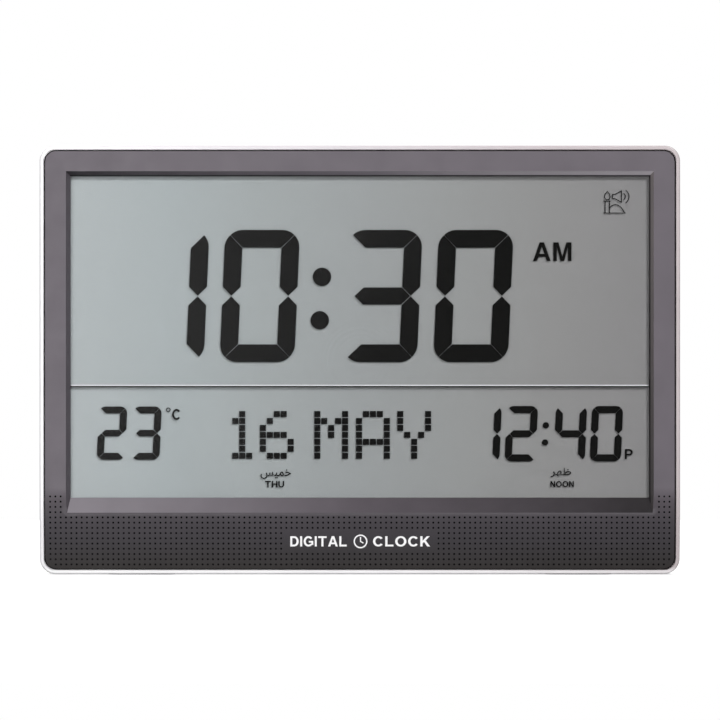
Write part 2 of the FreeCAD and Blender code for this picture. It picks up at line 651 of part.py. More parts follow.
def make_small_screws():
    """Small screws of the two display boards, the key board and the battery box."""
    boards = [small_screw(x, z, BOARD_BACK, 3.4, True) for x, z in BOARD_SCREWS]
    keys = [small_screw(x, z, KEY_BOARD_Y, 5.5, False) for x, z in KEY_SCREWS]
    box = [small_screw(x, z, BOX_EAR_Y[0], 6.0, False) for x, z in box_screw_places()]
    return Part.makeCompound(boards + keys + box)


def turned(x, z, points):
    """Solid of revolution about an axis along Y; points are (radius, y)."""
    corners = [Vector(x + r, y, z) for r, y in points]
    face = Part.Face(Part.makePolygon(corners + corners[:1]))
    return face.revolve(Vector(x, 0, z), Vector(0, 1, 0), 360)


def make_speaker():
    """Speaker in its working pieces, facing the chin."""
    x, z, y, r = SPEAKER_X, SPEAKER_Z, SPEAKER_Y, SPEAKER_R
    y_rear = y + SPEAKER_DEPTH
    throat, wall = SPEAKER_THROAT_R, 0.6
    basket = [(r, y), (r, y + SPEAKER_FLANGE_T), (r - 2.6, y + SPEAKER_FLANGE_T), (r - 5.0, y_rear),
              (throat, y_rear), (throat, y_rear - wall), (r - 5.5, y_rear - wall), (r - 3.0, y)]
    save("speaker_basket", turned(x, z, basket))
    rim, rim_flat, coil, coil_wall, sheet = r - 3.4, 1.2, 2.9, 0.4, 0.3
    cone = [(rim, y + sheet), (rim, y + 2 * sheet), (rim - rim_flat, y + 2 * sheet), (coil, y + 3.3),
            (coil, y_rear + sheet), (coil - coil_wall, y_rear + sheet), (coil - coil_wall, y + 3.0),
            (rim - rim_flat - sheet, y + sheet)]
    save("speaker_cone", turned(x, z, cone))
    y_pole, y_end = y_rear + 0.4, y_rear + MAGNET_T
    magnet = [(0.0, y_pole), (0.0, y_end), (MAGNET_R, y_end), (MAGNET_R, y_rear), (throat, y_rear),
              (throat, y_pole)]
    save("speaker_magnet", turned(x, z, magnet))
    y_gasket = y - SPEAKER_GASKET_T
    save("speaker_gasket", ring_y(x, z, r, r - 2.4, y_gasket, y))
    save("speaker_dust_mesh", rod_y(x, z, r, y_gasket - SPEAKER_MESH_T, y_gasket))
    save("speaker_screws", Part.makeCompound([speaker_clamp(px) for px in speaker_screw_places()]))


def speaker_clamp(x):
    """Screw with a broad washer that holds the speaker's flange down."""
    y_seat, washer_r, washer_t = SPEAKER_Y + 0.8, 5.4, 0.5
    washer = ring_y(x, SPEAKER_Z, washer_r, SMALL_SCREW_R - 0.05, y_seat, y_seat + washer_t)
    return fused([screw(x, SPEAKER_Z, y_seat, 2.2, 1.6, 3.6, SMALL_SCREW_R, True), washer])


def box_screw_places():
    """Corner screws of the battery box."""
    x = BOX_HALF + BOX_WALL + BOSS_R
    return [(s * x, z) for s in (-1, 1) for z in (BOX_Z[0] + 8.0, BOX_Z[1] - 8.0)]


def make_battery_box():
    """Open tray for four cells, with saddles and screw ears."""
    z0, z1 = BOX_Z
    w = BOX_WALL
    outer = block(-BOX_HALF - w, BOX_HALF + w, BOX_FLOOR_Y - w, COVER_IN, z0 - w, z1 + w)
    hollow = block(-BOX_HALF, BOX_HALF, BOX_FLOOR_Y, COVER_IN + 1, z0, z1)
    ears = [box_ear(x, z) for x, z in box_screw_places()]
    cells = [rod_x(CELL_Y, cell_z(i), CELL_R + 0.15, -BOX_HALF, BOX_HALF) for i in range(CELL_COUNT)]
    saddles = [block(x - 1.5, x + 1.5, BOX_FLOOR_Y - 0.2, BOX_FLOOR_Y + 3.0, z0, z1).cut(cells)
               for x in BOX_SADDLE_X]
    holes = [rod_y(x, z, SMALL_CLEAR_R, 0, 12) for x, z in box_screw_places()]
    return fused([outer.cut(hollow)] + saddles + ears).cut(holes)


def box_ear(x, z):
    """Screw ear on the side of the battery box."""
    wall = copysign(BOX_HALF + BOX_WALL / 2, x)
    y0, y1 = BOX_EAR_Y
    return fused([rod_y(x, z, BOSS_R, y0, y1), block(x, wall, y0, y1, z - BOSS_R, z + BOSS_R)])


def cell_z(i):
    """Height of cell i's axis."""
    return CELL_Z0 + i * CELL_PITCH


def cell_side(i):
    """Which way cell i's positive end points."""
    return 1 if i % 2 == 0 else -1


def make_cell(i):
    """AA cell with its raised positive cap."""
    s, z = cell_side(i), cell_z(i)
    tip = s * (BOX_HALF - CONTACT_T)
    shoulder = tip - s * CELL_CAP_L
    can = rod_x(CELL_Y, z, CELL_R, shoulder, tip - s * CELL_LENGTH)
    cap = rod_x(CELL_Y, z, CELL_CAP_R, shoulder, tip)
    return fused([can, cap])


def make_battery_contacts():
    """Plates at both ends of every cell."""
    half = CONTACT_HALF
    plates = [block(x0, x0 + CONTACT_T, CELL_Y - half, CELL_Y + half, cell_z(i) - half, cell_z(i) + half)
              for i in range(CELL_COUNT) for x0 in (-BOX_HALF, BOX_HALF - CONTACT_T)]
    return Part.makeCompound(plates)


def make_battery_springs():
    """Coil spring against every cell's negative end."""
    springs = []
    for i in range(CELL_COUNT):
        s, z = cell_side(i), cell_z(i)
        tail = s * (BOX_HALF - CONTACT_T - CELL_LENGTH)
        wall = -s * (BOX_HALF - CONTACT_T)
        height = abs(wall - tail) - 2 * SPRING_WIRE_R
        helix = Part.makeHelix(height / SPRING_TURNS, height, SPRING_R)
        section = Part.Wire([Part.makeCircle(SPRING_WIRE_R, Vector(SPRING_R, 0, 0), Vector(0, 1, 0))])
        coil = Part.Wire(helix).makePipeShell([section], True, True)
        coil.rotate(Vector(0, 0, 0), Vector(0, 1, 0), 90)
        coil.translate(Vector(min(wall, tail) + SPRING_WIRE_R, CELL_Y, z))
        springs.append(coil)
    return Part.makeCompound(springs)


def make_battery_door():
    """Door plate with its rolled top edge, hinge pins, finger lip and inner ribs."""
    y0 = BACK - DOOR_T
    plate = block(-DOOR_HALF, DOOR_HALF, y0, BACK, DOOR_Z0, DOOR_AXIS_Z)
    bead = rod_x(DOOR_AXIS_Y, DOOR_AXIS_Z, DOOR_BEAD_R, -DOOR_HALF, DOOR_HALF)
    reach = DOOR_HALF + DOOR_PIN_L
    pins = rod_x(DOOR_AXIS_Y, DOOR_AXIS_Z, DOOR_PIN_R, -reach, reach)
    lip_half = DOOR_GRIP_HALF - 1
    lip = block(-lip_half, lip_half, BACK - 1.2, BACK - 0.4, DOOR_Z0 - DOOR_GAP + RUNNING_FIT, DOOR_Z0 + 1)
    groove_half, groove_deep = 20.0, 0.5
    rises = [DOOR_Z0 + 8 + DOOR_GROOVE_PITCH * i for i in range(DOOR_GROOVES)]
    grooves = [block(-groove_half, groove_half, BACK - groove_deep, BACK + 1, z, z + DOOR_GROOVE_PITCH / 2)
               for z in rises]
    return fused([plate, bead, pins, lip]).cut(grooves)


def make_stand_leg():
    """Folding leg: a ribbed plate with a bored barrel at its foot and a thumb notch at its top."""
    y0, y1 = LEG_Y
    plate = block(-LEG_HALF, LEG_HALF, y0, y1, LEG_AXIS_Z, LEG_TOP)
    border, hollow_deep, rib_half = 5.0, 2.4, 0.9
    in_x = LEG_HALF - border
    plate = plate.cut(block(-in_x, in_x, y0 - 1, y0 + hollow_deep, LEG_AXIS_Z + 10, LEG_TOP - 12))
    ribs = [block(x - rib_half, x + rib_half, y0, y1, LEG_AXIS_Z + 8, LEG_TOP - 10) for x in LEG_RIB_X]
    barrel = rod_x(LEG_AXIS_Y, LEG_AXIS_Z, LEG_BARREL_R, -LEG_HALF, LEG_HALF)
    notch = rod_y(0, LEG_TOP + 3.0, 9.0, y0 - 1, y1 + 1)
    bore = rod_x(LEG_AXIS_Y, LEG_AXIS_Z, LEG_PIN_R + RUNNING_FIT, -LEG_HALF - 1, LEG_HALF + 1)
    pads = [leg_pad(s) for s in (-1, 1)]
    return fused([plate, barrel] + ribs).cut([notch, bore] + pads)


def leg_pad(side):
    """Rubber pad let into the leg's outer face near its free end."""
    sunk, proud = 1.2, 0.4
    return rod_y(side * LEG_PAD_X, LEG_TOP - LEG_PAD_R - 2, LEG_PAD_R, LEG_Y[1] - sunk, LEG_Y[1] + proud)


def make_stand_pin():
    """Steel pin through the leg's barrel, held in the pocket's walls."""
    reach = POCKET_HALF + POCKET_WALL
    return rod_x(LEG_AXIS_Y, LEG_AXIS_Z, LEG_PIN_R, -reach, reach)


def make_button(z, cap_r, stem_r, y_top):
    """Button cap with a flange that keeps it in and a stem that enters its switch."""
    cap = rod_y(KEY_X, z, cap_r, KEY_PAD_IN - 1.0, y_top)
    crown = [e for e in cap.Edges if e.BoundBox.YMin > y_top - 0.01]
    cap = cap.makeFillet(min(0.6, cap_r * 0.4), crown)
    flange = rod_y(KEY_X, z, cap_r + KEY_FLANGE, KEY_PAD_IN - 1.4, KEY_PAD_IN - 0.1)
    stem = rod_y(KEY_X, z, stem_r, KEY_BODY_TOP - 1.0, KEY_PAD_IN - KEY_FLANGE)
    return fused([cap, flange, stem])


def key_heights():
    """Heights of all push switches, the reset switch last."""
    return list(KEYS.values()) + [RESET_Z]


def make_key_switches():
    """Square push-switch bodies on the key board, open at the top for the stems."""
    bodies = []
    y0 = KEY_BOARD_Y + BOARD_T
    half, well_deep = KEY_BODY_HALF, 2.1
    for z in key_heights():
        body = block(KEY_X - half, KEY_X + half, y0, KEY_BODY_TOP, z - half, z + half)
        well = rod_y(KEY_X, z, STEM_R + KEY_FIT, KEY_BODY_TOP - well_deep, KEY_BODY_TOP + 1)
        bodies.append(body.cut(well))
    return Part.makeCompound(bodies)


def make_key_board():
    """Narrow board behind the key column."""
    board = block(KEY_PAD[0] + 1, KEY_PAD[1] - 1, KEY_BOARD_Y, KEY_BOARD_Y + BOARD_T,
                  KEY_PAD[2] + 0.5, KEY_PAD[3] - 0.5)
    return board.cut([rod_y(x, z, SMALL_CLEAR_R, 0, 10) for x, z in KEY_SCREWS])


def make_slide_switch():
    """Slide switch: metal can on the key board and the knob that runs in it."""
    y0 = KEY_BOARD_Y + BOARD_T
    can_half, can_high, can_deep = 5.0, 2.6, 4.0
    slot_half, slot_high = 4.2, 1.3
    can = block(KEY_X - can_half, KEY_X + can_half, y0, y0 + can_deep, SWITCH_Z - can_high, SWITCH_Z + can_high)
    slot = block(KEY_X - slot_half, KEY_X + slot_half, y0 + 1.2, y0 + can_deep + 1,
                 SWITCH_Z - slot_high, SWITCH_Z + slot_high)
    save("alarm_switch_can", can.cut(slot))
    x = KEY_X - SWITCH_TRAVEL / 2
    neck_half, neck_high, head_half, head_high, grip_half = 1.2, 0.9, 2.0, 1.4, 0.2
    neck = block(x - neck_half, x + neck_half, y0 + 1.5, BACK - 0.6, SWITCH_Z - neck_high, SWITCH_Z + neck_high)
    head = block(x - head_half, x + head_half, y0 + can_deep + 0.4, BACK - 0.5,
                 SWITCH_Z - head_high, SWITCH_Z + head_high)
    grips = [block(x + d - grip_half, x + d + grip_half, BACK - 0.8, BACK, SWITCH_Z - 2, SWITCH_Z + 2)
             for d in (-1.0, 0.0, 1.0)]
    save("alarm_switch_knob", fused([neck, head]).cut(grips))


def make_header(x, z, size_x, size_z, height):
    """Plug header block."""
    return block(x - size_x / 2, x + size_x / 2, BOARD_BACK, BOARD_BACK + height, z - size_z / 2, z + size_z / 2)


def make_board_headers():
    """Plug headers for the ribbon, the speaker, the cells and the key board."""
    ribbon = [make_header(sum(RIBBON_X) / 2, z, 24, 6, RIBBON_PLUG_H) for z in (87.0, 225.0)]
    plugs = [make_header(x, 46.0, 8, 6, PLUG_H) for x in (-40.0, 80.0)]
    keys = make_header(100.0, 72.0, 6, 14, PLUG_H)
    return Part.makeCompound(ribbon + plugs + [keys])


def make_capacitors():
    """Can capacitors standing on the main board."""
    cans = []
    for x, z in CAPACITORS:
        can = rod_y(x, z, CAPACITOR_R, BOARD_BACK, BOARD_BACK + CAPACITOR_H)
        groove = ring_y(x, z, CAPACITOR_R + 1, CAPACITOR_R - 0.25, BOARD_BACK + 1.0, BOARD_BACK + 1.5)
        cans.append(can.cut(groove))
    return Part.makeCompound(cans)


def lead(points, bend, r):
    """Insulated wire: straight runs joined by tangent arcs."""
    corners = [Vector(*p) for p in points]
    edges = []
    start = corners[0]
    for before, corner, after in zip(corners, corners[1:], corners[2:]):
        back = (before - corner).normalize()
        ahead = (after - corner).normalize()
        half = back.getAngle(ahead) / 2
        trim = bend / tan(half)
        entry = corner + back * trim
        leave = corner + ahead * trim
        centre = corner + (back + ahead).normalize() * (bend / sin(half))
        middle = centre + (corner - centre).normalize() * bend
        edges.append(Part.LineSegment(start, entry).toShape())
        edges.append(Part.Arc(entry, middle, leave).toShape())
        start = leave
    edges.append(Part.LineSegment(start, corners[-1]).toShape())
    path = Part.Wire(edges)
    section = Part.Wire([Part.makeCircle(r, corners[0], corners[1] - corners[0])])
    solid = path.makePipeShell([section], True, False)
    if abs(solid.Volume - pi * r * r * path.Length) > 0.02 * solid.Volume:
        raise ValueError("a lead did not sweep to its full volume")
    return solid


def make_leads():
    """Pairs of wires to the speaker, the cells and the key board."""
    y_top = BOARD_BACK + PLUG_H
    pair, y_loop, y_box = (-0.9, 0.9), 6.0, 4.0
    speaker = [lead([(80 + d, y_top, 46), (80 + d, y_loop + d, 46), (99 + d, y_loop + d, 30 + d),
                     (99 + d, SPEAKER_Y + SPEAKER_DEPTH + MAGNET_T + 0.5, 25)], 2.4, LEAD_R) for d in pair]
    cells = [lead([(-40 + d, y_top, 46), (-40 + d, y_box, 46), (-40 + d, y_box, 136 + d),
                   (-BOX_HALF - BOX_WALL, y_box, 136 + d)], 3.0, LEAD_R) for d in pair]
    y_mid = BOARD_BACK + PLUG_H / 2
    y_key = KEY_BOARD_Y + BOARD_T / 2
    keys = [lead([(103, y_mid, 72 + d), (116, y_mid, 72 + d), (128, y_key, 100 + d),
                  (KEY_PAD[0] + 1, y_key, 100 + d)], 3.0, FINE_LEAD_R) for d in (-4.5, -2.7, -0.9)]
    save("speaker_lead", Part.makeCompound(speaker))
    save("battery_lead", Part.makeCompound(cells))
    save("key_board_lead", Part.makeCompound(keys))


def make_temperature_sensor():
    """Thermistor bead on two bent legs off the main board's edge."""
    x0, x1, z = MAIN_BOARD[0], MAIN_BOARD[0] - 10.0, 60.0
    leg_t, bead_r, bead_half = 0.5, 1.7, 2.0
    legs = [block(x1, x0 + 3.0, BOARD_BACK, BOARD_BACK + leg_t, z + d - leg_t / 2, z + d + leg_t / 2)
            for d in (-1.0, 1.0)]
    bead = rod_x(BOARD_BACK + leg_t / 2, z, bead_r, x1 - bead_half, x1 + bead_half)
    bead = bead.makeFillet(1.2, [e for e in bead.Edges if e.BoundBox.XLength < 0.01])
    return fused([bead] + legs)


def make_quartz_crystal():
    """Watch crystal lying on the main board."""
    r, leg_r, z = 1.5, 0.2, 60.0
    y = BOARD_BACK + r
    can = rod_x(y, z, r, -60.0, -52.0)
    legs = [rod_x(y - 0.5 * s, z, leg_r, -63.0, -60.0) for s in (-1, 1)]
    return fused([can] + legs)


def make_electronics():
    """Boards, chips and everything soldered to them."""
    save("main_board", make_board(MAIN_BOARD, [p for p in BOARD_SCREWS if p[1] < 100]))
    save("display_board", make_board(DISPLAY_BOARD, [p for p in BOARD_SCREWS if p[1] > 100]))
    low, high = zebra_places()
    save("calendar_lcd_zebra_strip", zebra_block(low, 0, 0, REAR_GLASS_Y, BOARD_Y))
    save("time_lcd_zebra_strip", zebra_block(high, 0, 0, REAR_GLASS_Y, BOARD_Y))
    save("clock_chip", make_chip(-30, 70, 14, 14, 1.6, 14, 14))
    save("sound_chip", make_chip(40, 62, 10, 6, 1.6, 10, 0))
    save("driver_chip", make_chip(-20, 230, 18, 8, 2.0, 20, 0))
    save("board_headers", make_board_headers())
    save("capacitors", make_capacitors())
    save("quartz_crystal", make_quartz_crystal())
    save("temperature_sensor", make_temperature_sensor())
    save("display_ribbon", block(*RIBBON_X, BOARD_BACK + 1.0, BOARD_BACK + 1.2, 90.0, 222.0))


def make_display_stack():
    """Lens, gasket, both LCDs and the tray that holds them."""
    save("display_lens", make_display_lens())
    save("foam_gasket", make_foam_gasket())
    make_display("time_lcd", SPLIT_Z + SPLIT_GAP / 2, GLASS_Z[1], True)
    make_display("calendar_lcd", GLASS_Z[0], SPLIT_Z - SPLIT_GAP / 2, False)
    save("lcd_carrier", make_lcd_carrier())


def make_power():
    """Battery box with its cells, contacts and springs, and the door over it."""
    save("battery_box", make_battery_box())
    for i in range(CELL_COUNT):
        save("battery_cell_" + str(i + 1), make_cell(i))
    save("battery_contacts", make_battery_contacts())
    save("battery_springs", make_battery_springs())
    save("battery_door", make_battery_door())


def make_controls():
    """Key board, switches and the six buttons."""
    save("key_board", make_key_board())
    save("key_switches", make_key_switches())
    make_slide_switch()
    for name, z in KEYS.items():
        save(name, make_button(z, KEY_R, STEM_R, KEY_TOP))
    save("reset_button", make_button(RESET_Z, RESET_R, RESET_STEM_R, KEY_PAD_OUT - 0.2))


def make_stand():
    """Folding stand with its pin and pads."""
    save("stand_leg", make_stand_leg())
    save("stand_pin", make_stand_pin())
    save("stand_leg_pads", Part.makeCompound([leg_pad(s) for s in (-1, 1)]))


os.makedirs("parts", exist_ok=True)
save("front_bezel", make_front_bezel())
save("side_frame", make_side_frame())
save("rear_cover", make_rear_cover())
save("rubber_feet", make_rubber_feet())
make_display_stack()
make_electronics()
make_speaker()
make_power()
make_controls()
make_stand()
make_leads()
save("case_screws", make_case_screws())
save("tray_screws", make_tray_screws())
save("small_screws", make_small_screws())
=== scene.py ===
from math import cos, hypot, pi, radians, sin, sqrt, tan

import bmesh
import bpy
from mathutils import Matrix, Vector, geometry


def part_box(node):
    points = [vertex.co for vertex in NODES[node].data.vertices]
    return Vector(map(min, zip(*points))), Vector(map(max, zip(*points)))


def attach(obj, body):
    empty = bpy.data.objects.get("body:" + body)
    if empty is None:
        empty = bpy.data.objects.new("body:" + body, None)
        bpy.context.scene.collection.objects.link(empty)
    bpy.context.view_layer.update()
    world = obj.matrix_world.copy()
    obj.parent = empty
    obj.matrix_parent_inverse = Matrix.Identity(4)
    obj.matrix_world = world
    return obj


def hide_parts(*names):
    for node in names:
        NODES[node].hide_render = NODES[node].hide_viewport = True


# Everything is in metres, in the CAD frame: +X to the right of the display, +Z up, the display faces -Y.
MM = 0.001

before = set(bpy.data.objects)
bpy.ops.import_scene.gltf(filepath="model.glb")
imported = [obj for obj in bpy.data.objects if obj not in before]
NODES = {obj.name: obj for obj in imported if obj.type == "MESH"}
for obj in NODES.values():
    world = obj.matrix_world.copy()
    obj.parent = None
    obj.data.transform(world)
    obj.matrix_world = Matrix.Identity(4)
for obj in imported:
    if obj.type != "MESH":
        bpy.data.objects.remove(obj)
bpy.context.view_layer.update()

# ---- places read from the frame ----
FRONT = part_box("front_bezel")[0].y
INK_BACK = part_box("time_lcd_front_glass")[1].y
INK_T = 0.06 * MM
INK_FRONT = INK_BACK - INK_T
RIB_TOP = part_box("time_lcd_front_glass")[0].z
KEY_X = (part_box("mode_button")[0].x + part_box("mode_button")[1].x) / 2
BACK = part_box("rear_cover")[1].y

# ---- the front's own dimensions ----
CHIN_TOP = 52.0 * MM
CHIN_BEND_END = 30.0 * MM
CHIN_ANGLE = radians(10)
CHIN_R = (CHIN_TOP - CHIN_BEND_END) / sin(CHIN_ANGLE)
WINDOW_HALF = 171.7 * MM
WINDOW_LOW = 45.8 * MM
WINDOW_HIGH = 236.5 * MM
WINDOW_DEPTH = 4.0 * MM
BEVEL_HALF = 174.5 * MM
BEVEL_LOW = 34.0 * MM
BEVEL_HIGH = 240.0 * MM
BEVEL_MOST = 12.0 * MM
# Width of the painted shadow band under the window's top and right lips.
LIP_SHADOW = 0.95 * MM
WINDOW_MIDDLE = (WINDOW_LOW + WINDOW_HIGH) / 2
# Width of the painted shade along the panel's outer rounded edge.
EDGE_SHADE_WIDTH = 0.85 * MM
PANEL_CORNER = 7.0 * MM
SAME_FACE = 0.02 * MM
HOLE_PITCH = 3.114 * MM
HOLE_R = 0.6 * MM
HOLE_DEPTH = 1.4 * MM
HOLE_SIDES = 12
HOLE_TOP_ROW = 34.1 * MM
HOLE_COLUMNS = 119
HOLE_ROWS = 10
EXTRA_ROWS = 4
EXTRA_COLUMNS = 3
BLANK_COLUMNS = (45, 73)
BLANK_ROWS = (3, 6)
BEND_X = [side * x * MM for side in (-1, 1) for x in (177.0, 180.0, 183.0)]
BEND_Z = (49.0 * MM, 51.0 * MM)


def setback(z):
    """How far the front face lies behind FRONT at height z: flat, then bent, then a sloping plane."""
    if z >= CHIN_TOP:
        return 0.0
    if z >= CHIN_BEND_END:
        return CHIN_R - sqrt(CHIN_R ** 2 - (CHIN_TOP - z) ** 2)
    return CHIN_R * (1 - cos(CHIN_ANGLE)) + (CHIN_BEND_END - z) * tan(CHIN_ANGLE)


# ---------------------------------------------------------------- meshes
def finish_piece(name, bm, looks, body="case", replaced=(), smooth=30):
    """Turn a bmesh into a named piece that rides on a body."""
    bmesh.ops.recalc_face_normals(bm, faces=bm.faces)
    mesh = bpy.data.meshes.new(name)
    bm.to_mesh(mesh)
    bm.free()
    if "custom_normal" in mesh.attributes:
        mesh.attributes.remove(mesh.attributes["custom_normal"])
    for look in looks:
        mesh.materials.append(look)
    mesh.shade_smooth()
    mesh.set_sharp_from_angle(angle=radians(smooth))
    piece = bpy.data.objects.new(name, mesh)
    bpy.context.scene.collection.objects.link(piece)
    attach(piece, body)
    if replaced:
        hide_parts(*replaced)
    return piece


def prism(bm, outline, y_front, y_back):
    """Closed plate whose outline is a list of (x, z) points."""
    front = [bm.verts.new((x, y_front, z)) for x, z in outline]
    back = [bm.verts.new((x, y_back, z)) for x, z in outline]
    bm.faces.new(front)
    bm.faces.new(list(reversed(back)))
    for i in range(len(front)):
        j = (i + 1) % len(front)
        bm.faces.new((front[j], front[i], back[i], back[j]))


def plate(bm, loops, y_front, y_back):
    """Closed plate from an outline and its holes, each a list of (x, z) points."""
    flat = [[Vector((x, z, 0)) for x, z in loop] for loop in loops]
    front = [[bm.verts.new((p.x, y_front, p.y)) for p in loop] for loop in flat]
    back = [[bm.verts.new((p.x, y_back, p.y)) for p in loop] for loop in flat]
    for skin in (front, back):
        known = [v for loop in skin for v in loop]
        for tri in geometry.tessellate_polygon(flat):
            bm.faces.new([known[i] for i in tri])
    for a, b in zip(front, back):
        for i in range(len(a)):
            j = (i + 1) % len(a)
            bm.faces.new((a[j], a[i], b[i], b[j]))


def ring(bm, x, z, r_out, r_in, y_front, y_back):
    """Closed flat ring."""
    plate(bm, [disc(x, z, r_out), disc(x, z, r_in)], y_front, y_back)


def disc(x, z, r, sides=40):
    """Round outline."""
    return [(x + r * cos(2 * pi * i / sides), z + r * sin(2 * pi * i / sides)) for i in range(sides)]


def bar(x0, x1, z0, z1):
    """Rectangular outline."""
    return [(x0, z0), (x1, z0), (x1, z1), (x0, z1)]


def stroke(points, width):
    """Outline of a line drawn with a given width, with mitred corners."""
    left, right = [], []
    for i, (x, z) in enumerate(points):
        x0, z0 = points[max(i - 1, 0)]
        x1, z1 = points[min(i + 1, len(points) - 1)]
        into = Vector((x - x0, z - z0)) if i else Vector((x1 - x, z1 - z))
        out = Vector((x1 - x, z1 - z)) if i < len(points) - 1 else into
        into, out = into.normalized(), out.normalized()
        side = Vector((-into.y - out.y, into.x + out.x)).normalized()
        reach = width / 2 / max(0.35, side.dot(Vector((-into.y, into.x))))
        left.append((x + side.x * reach, z + side.y * reach))
        right.append((x - side.x * reach, z - side.y * reach))
    return right + list(reversed(left))


def arc(x, z, r, start, end, steps=10):
    """Points of an arc, angles in degrees."""
    turns = [radians(start + (end - start) * i / steps) for i in range(steps + 1)]
    return [(x + r * cos(t), z + r * sin(t)) for t in turns]


def bow(x, z, wide, high, start, end, steps=12):
    """Points along part of an oval, angles in degrees."""
    turns = [radians(start + (end - start) * i / steps) for i in range(steps + 1)]
    return [(x + wide * cos(t), z + high * sin(t)) for t in turns]


# Bold capitals one unit high: width, then the outline and its holes.
LETTERS = {
    "A": (0.95, [[(0, 0), (0.215, 0), (0.29, 0.22), (0.66, 0.22), (0.735, 0), (0.95, 0), (0.595, 1),
                  (0.355, 1)],
                 [(0.345, 0.385), (0.605, 0.385), (0.475, 0.77)]]),
    "C": (0.92, [bow(0.47, 0.5, 0.47, 0.51, 38, 322, 24) + bow(0.47, 0.5, 0.26, 0.33, 322, 38, 24)]),
    "D": (0.82, [[(0, 0)] + bow(0.4, 0.5, 0.42, 0.5, -90, 90) + [(0, 1)],
                 [(0.2, 0.18)] + bow(0.38, 0.5, 0.23, 0.32, -90, 90) + [(0.2, 0.82)]]),
    "G": (0.94, [bow(0.47, 0.5, 0.47, 0.51, 38, 318, 24)
                 + [(0.94, 0.14), (0.94, 0.54), (0.5, 0.54), (0.5, 0.37), (0.74, 0.37), (0.74, 0.25)]
                 + bow(0.47, 0.5, 0.26, 0.33, 310, 38, 24)]),
    "H": (0.82, [[(0, 0), (0.2, 0), (0.2, 0.42), (0.62, 0.42), (0.62, 0), (0.82, 0), (0.82, 1), (0.62, 1),
                  (0.62, 0.6), (0.2, 0.6), (0.2, 1), (0, 1)]]),
    "I": (0.2, [[(0, 0), (0.2, 0), (0.2, 1), (0, 1)]]),
    "K": (0.85, [[(0, 0), (0.2, 0), (0.2, 0.3), (0.33, 0.44), (0.6, 0), (0.85, 0), (0.47, 0.58), (0.83, 1),
                  (0.57, 1), (0.2, 0.56), (0.2, 1), (0, 1)]]),
    "L": (0.72, [[(0, 0), (0.72, 0), (0.72, 0.18), (0.2, 0.18), (0.2, 1), (0, 1)]]),
    "M": (0.98, [[(0, 0), (0.19, 0), (0.19, 0.76), (0.39, 0), (0.59, 0), (0.79, 0.76), (0.79, 0), (0.98, 0),
                  (0.98, 1), (0.7, 1), (0.49, 0.24), (0.28, 1), (0, 1)]]),
    "N": (0.82, [[(0, 0), (0.19, 0), (0.19, 0.68), (0.6, 0), (0.82, 0), (0.82, 1), (0.63, 1), (0.63, 0.32),
                  (0.21, 1), (0, 1)]]),
    "O": (0.98, [bow(0.49, 0.5, 0.49, 0.51, 0, 350, 35), bow(0.49, 0.5, 0.28, 0.33, 0, 350, 35)]),
    "P": (0.77, [[(0, 0), (0.2, 0), (0.2, 0.36)] + bow(0.45, 0.68, 0.32, 0.32, -90, 90) + [(0, 1)],
                 [(0.2, 0.53)] + bow(0.43, 0.68, 0.14, 0.15, -90, 90) + [(0.2, 0.83)]]),
    "T": (0.82, [[(0.31, 0), (0.51, 0), (0.51, 0.82), (0.82, 0.82), (0.82, 1), (0, 1), (0, 0.82),
                  (0.31, 0.82)]]),
    "U": (0.82, [[(0, 1)] + bow(0.41, 0.38, 0.41, 0.39, 180, 360) + [(0.82, 1), (0.62, 1)]
                 + bow(0.41, 0.38, 0.21, 0.2, 360, 180) + [(0.2, 1)]]),
}
LETTER_GAP = 0.14


def spell(bm, text, x0, x1, z0, z1, y_front, y_back):
    """Bold capitals that fill a box."""
    natural = sum(LETTERS[c][0] for c in text) + LETTER_GAP * (len(text) - 1)
    wide = (x1 - x0) / natural
    for c in text:
        loops = [[(x0 + x * wide, z0 + z * (z1 - z0)) for x, z in loop] for loop in LETTERS[c][1]]
        plate(bm, loops, y_front, y_back)
        x0 += (LETTERS[c][0] + LETTER_GAP) * wide


def lay_on_chin(bm):
    """Bend flat plates drawn at y = 0 on to the chin's surface."""
    for v in bm.verts:
        v.co.y += FRONT + setback(v.co.z)


def word(bm, text, x0, x1, z0, z1, y_front, y_back, weight=0.0):
    """Lettering in the built-in typeface, fitted to a box and given a thickness."""
    curve = bpy.data.curves.new("word", "FONT")
    curve.body = text
    curve.offset = weight
    curve.extrude = 0.5
    curve.resolution_u = 4
    holder = bpy.data.objects.new("word", curve)
    bpy.context.scene.collection.objects.link(holder)
    bpy.context.view_layer.update()
    mesh = bpy.data.meshes.new_from_object(holder.evaluated_get(bpy.context.evaluated_depsgraph_get()))
    xs = [v.co.x for v in mesh.vertices]
    zs = [v.co.y for v in mesh.vertices]
    for v in mesh.vertices:
        x = x0 + (v.co.x - min(xs)) / (max(xs) - min(xs)) * (x1 - x0)
        z = z0 + (v.co.y - min(zs)) / (max(zs) - min(zs)) * (z1 - z0)
        v.co = (x, y_front if v.co.z > 0 else y_back, z)
    known = len(bm.verts)
    bm.from_mesh(mesh)
    bm.verts.ensure_lookup_table()
    bmesh.ops.remove_doubles(bm, verts=bm.verts[known:], dist=0.002 * MM)
    bpy.data.objects.remove(holder)
    bpy.data.meshes.remove(mesh)
    bpy.data.curves.remove(curve)


# ---------------------------------------------------------------- materials
def rgb(code, alpha=1.0):
    """Linear colour of an sRGB code such as 736c74."""
    parts = [int(code[i:i + 2], 16) / 255 for i in (0, 2, 4)]
    return tuple(c / 12.92 if c <= 0.04045 else ((c + 0.055) / 1.055) ** 2.4 for c in parts) + (alpha,)


def grey(value):
    """Linear grey."""
    return (value, value, value, 1.0)


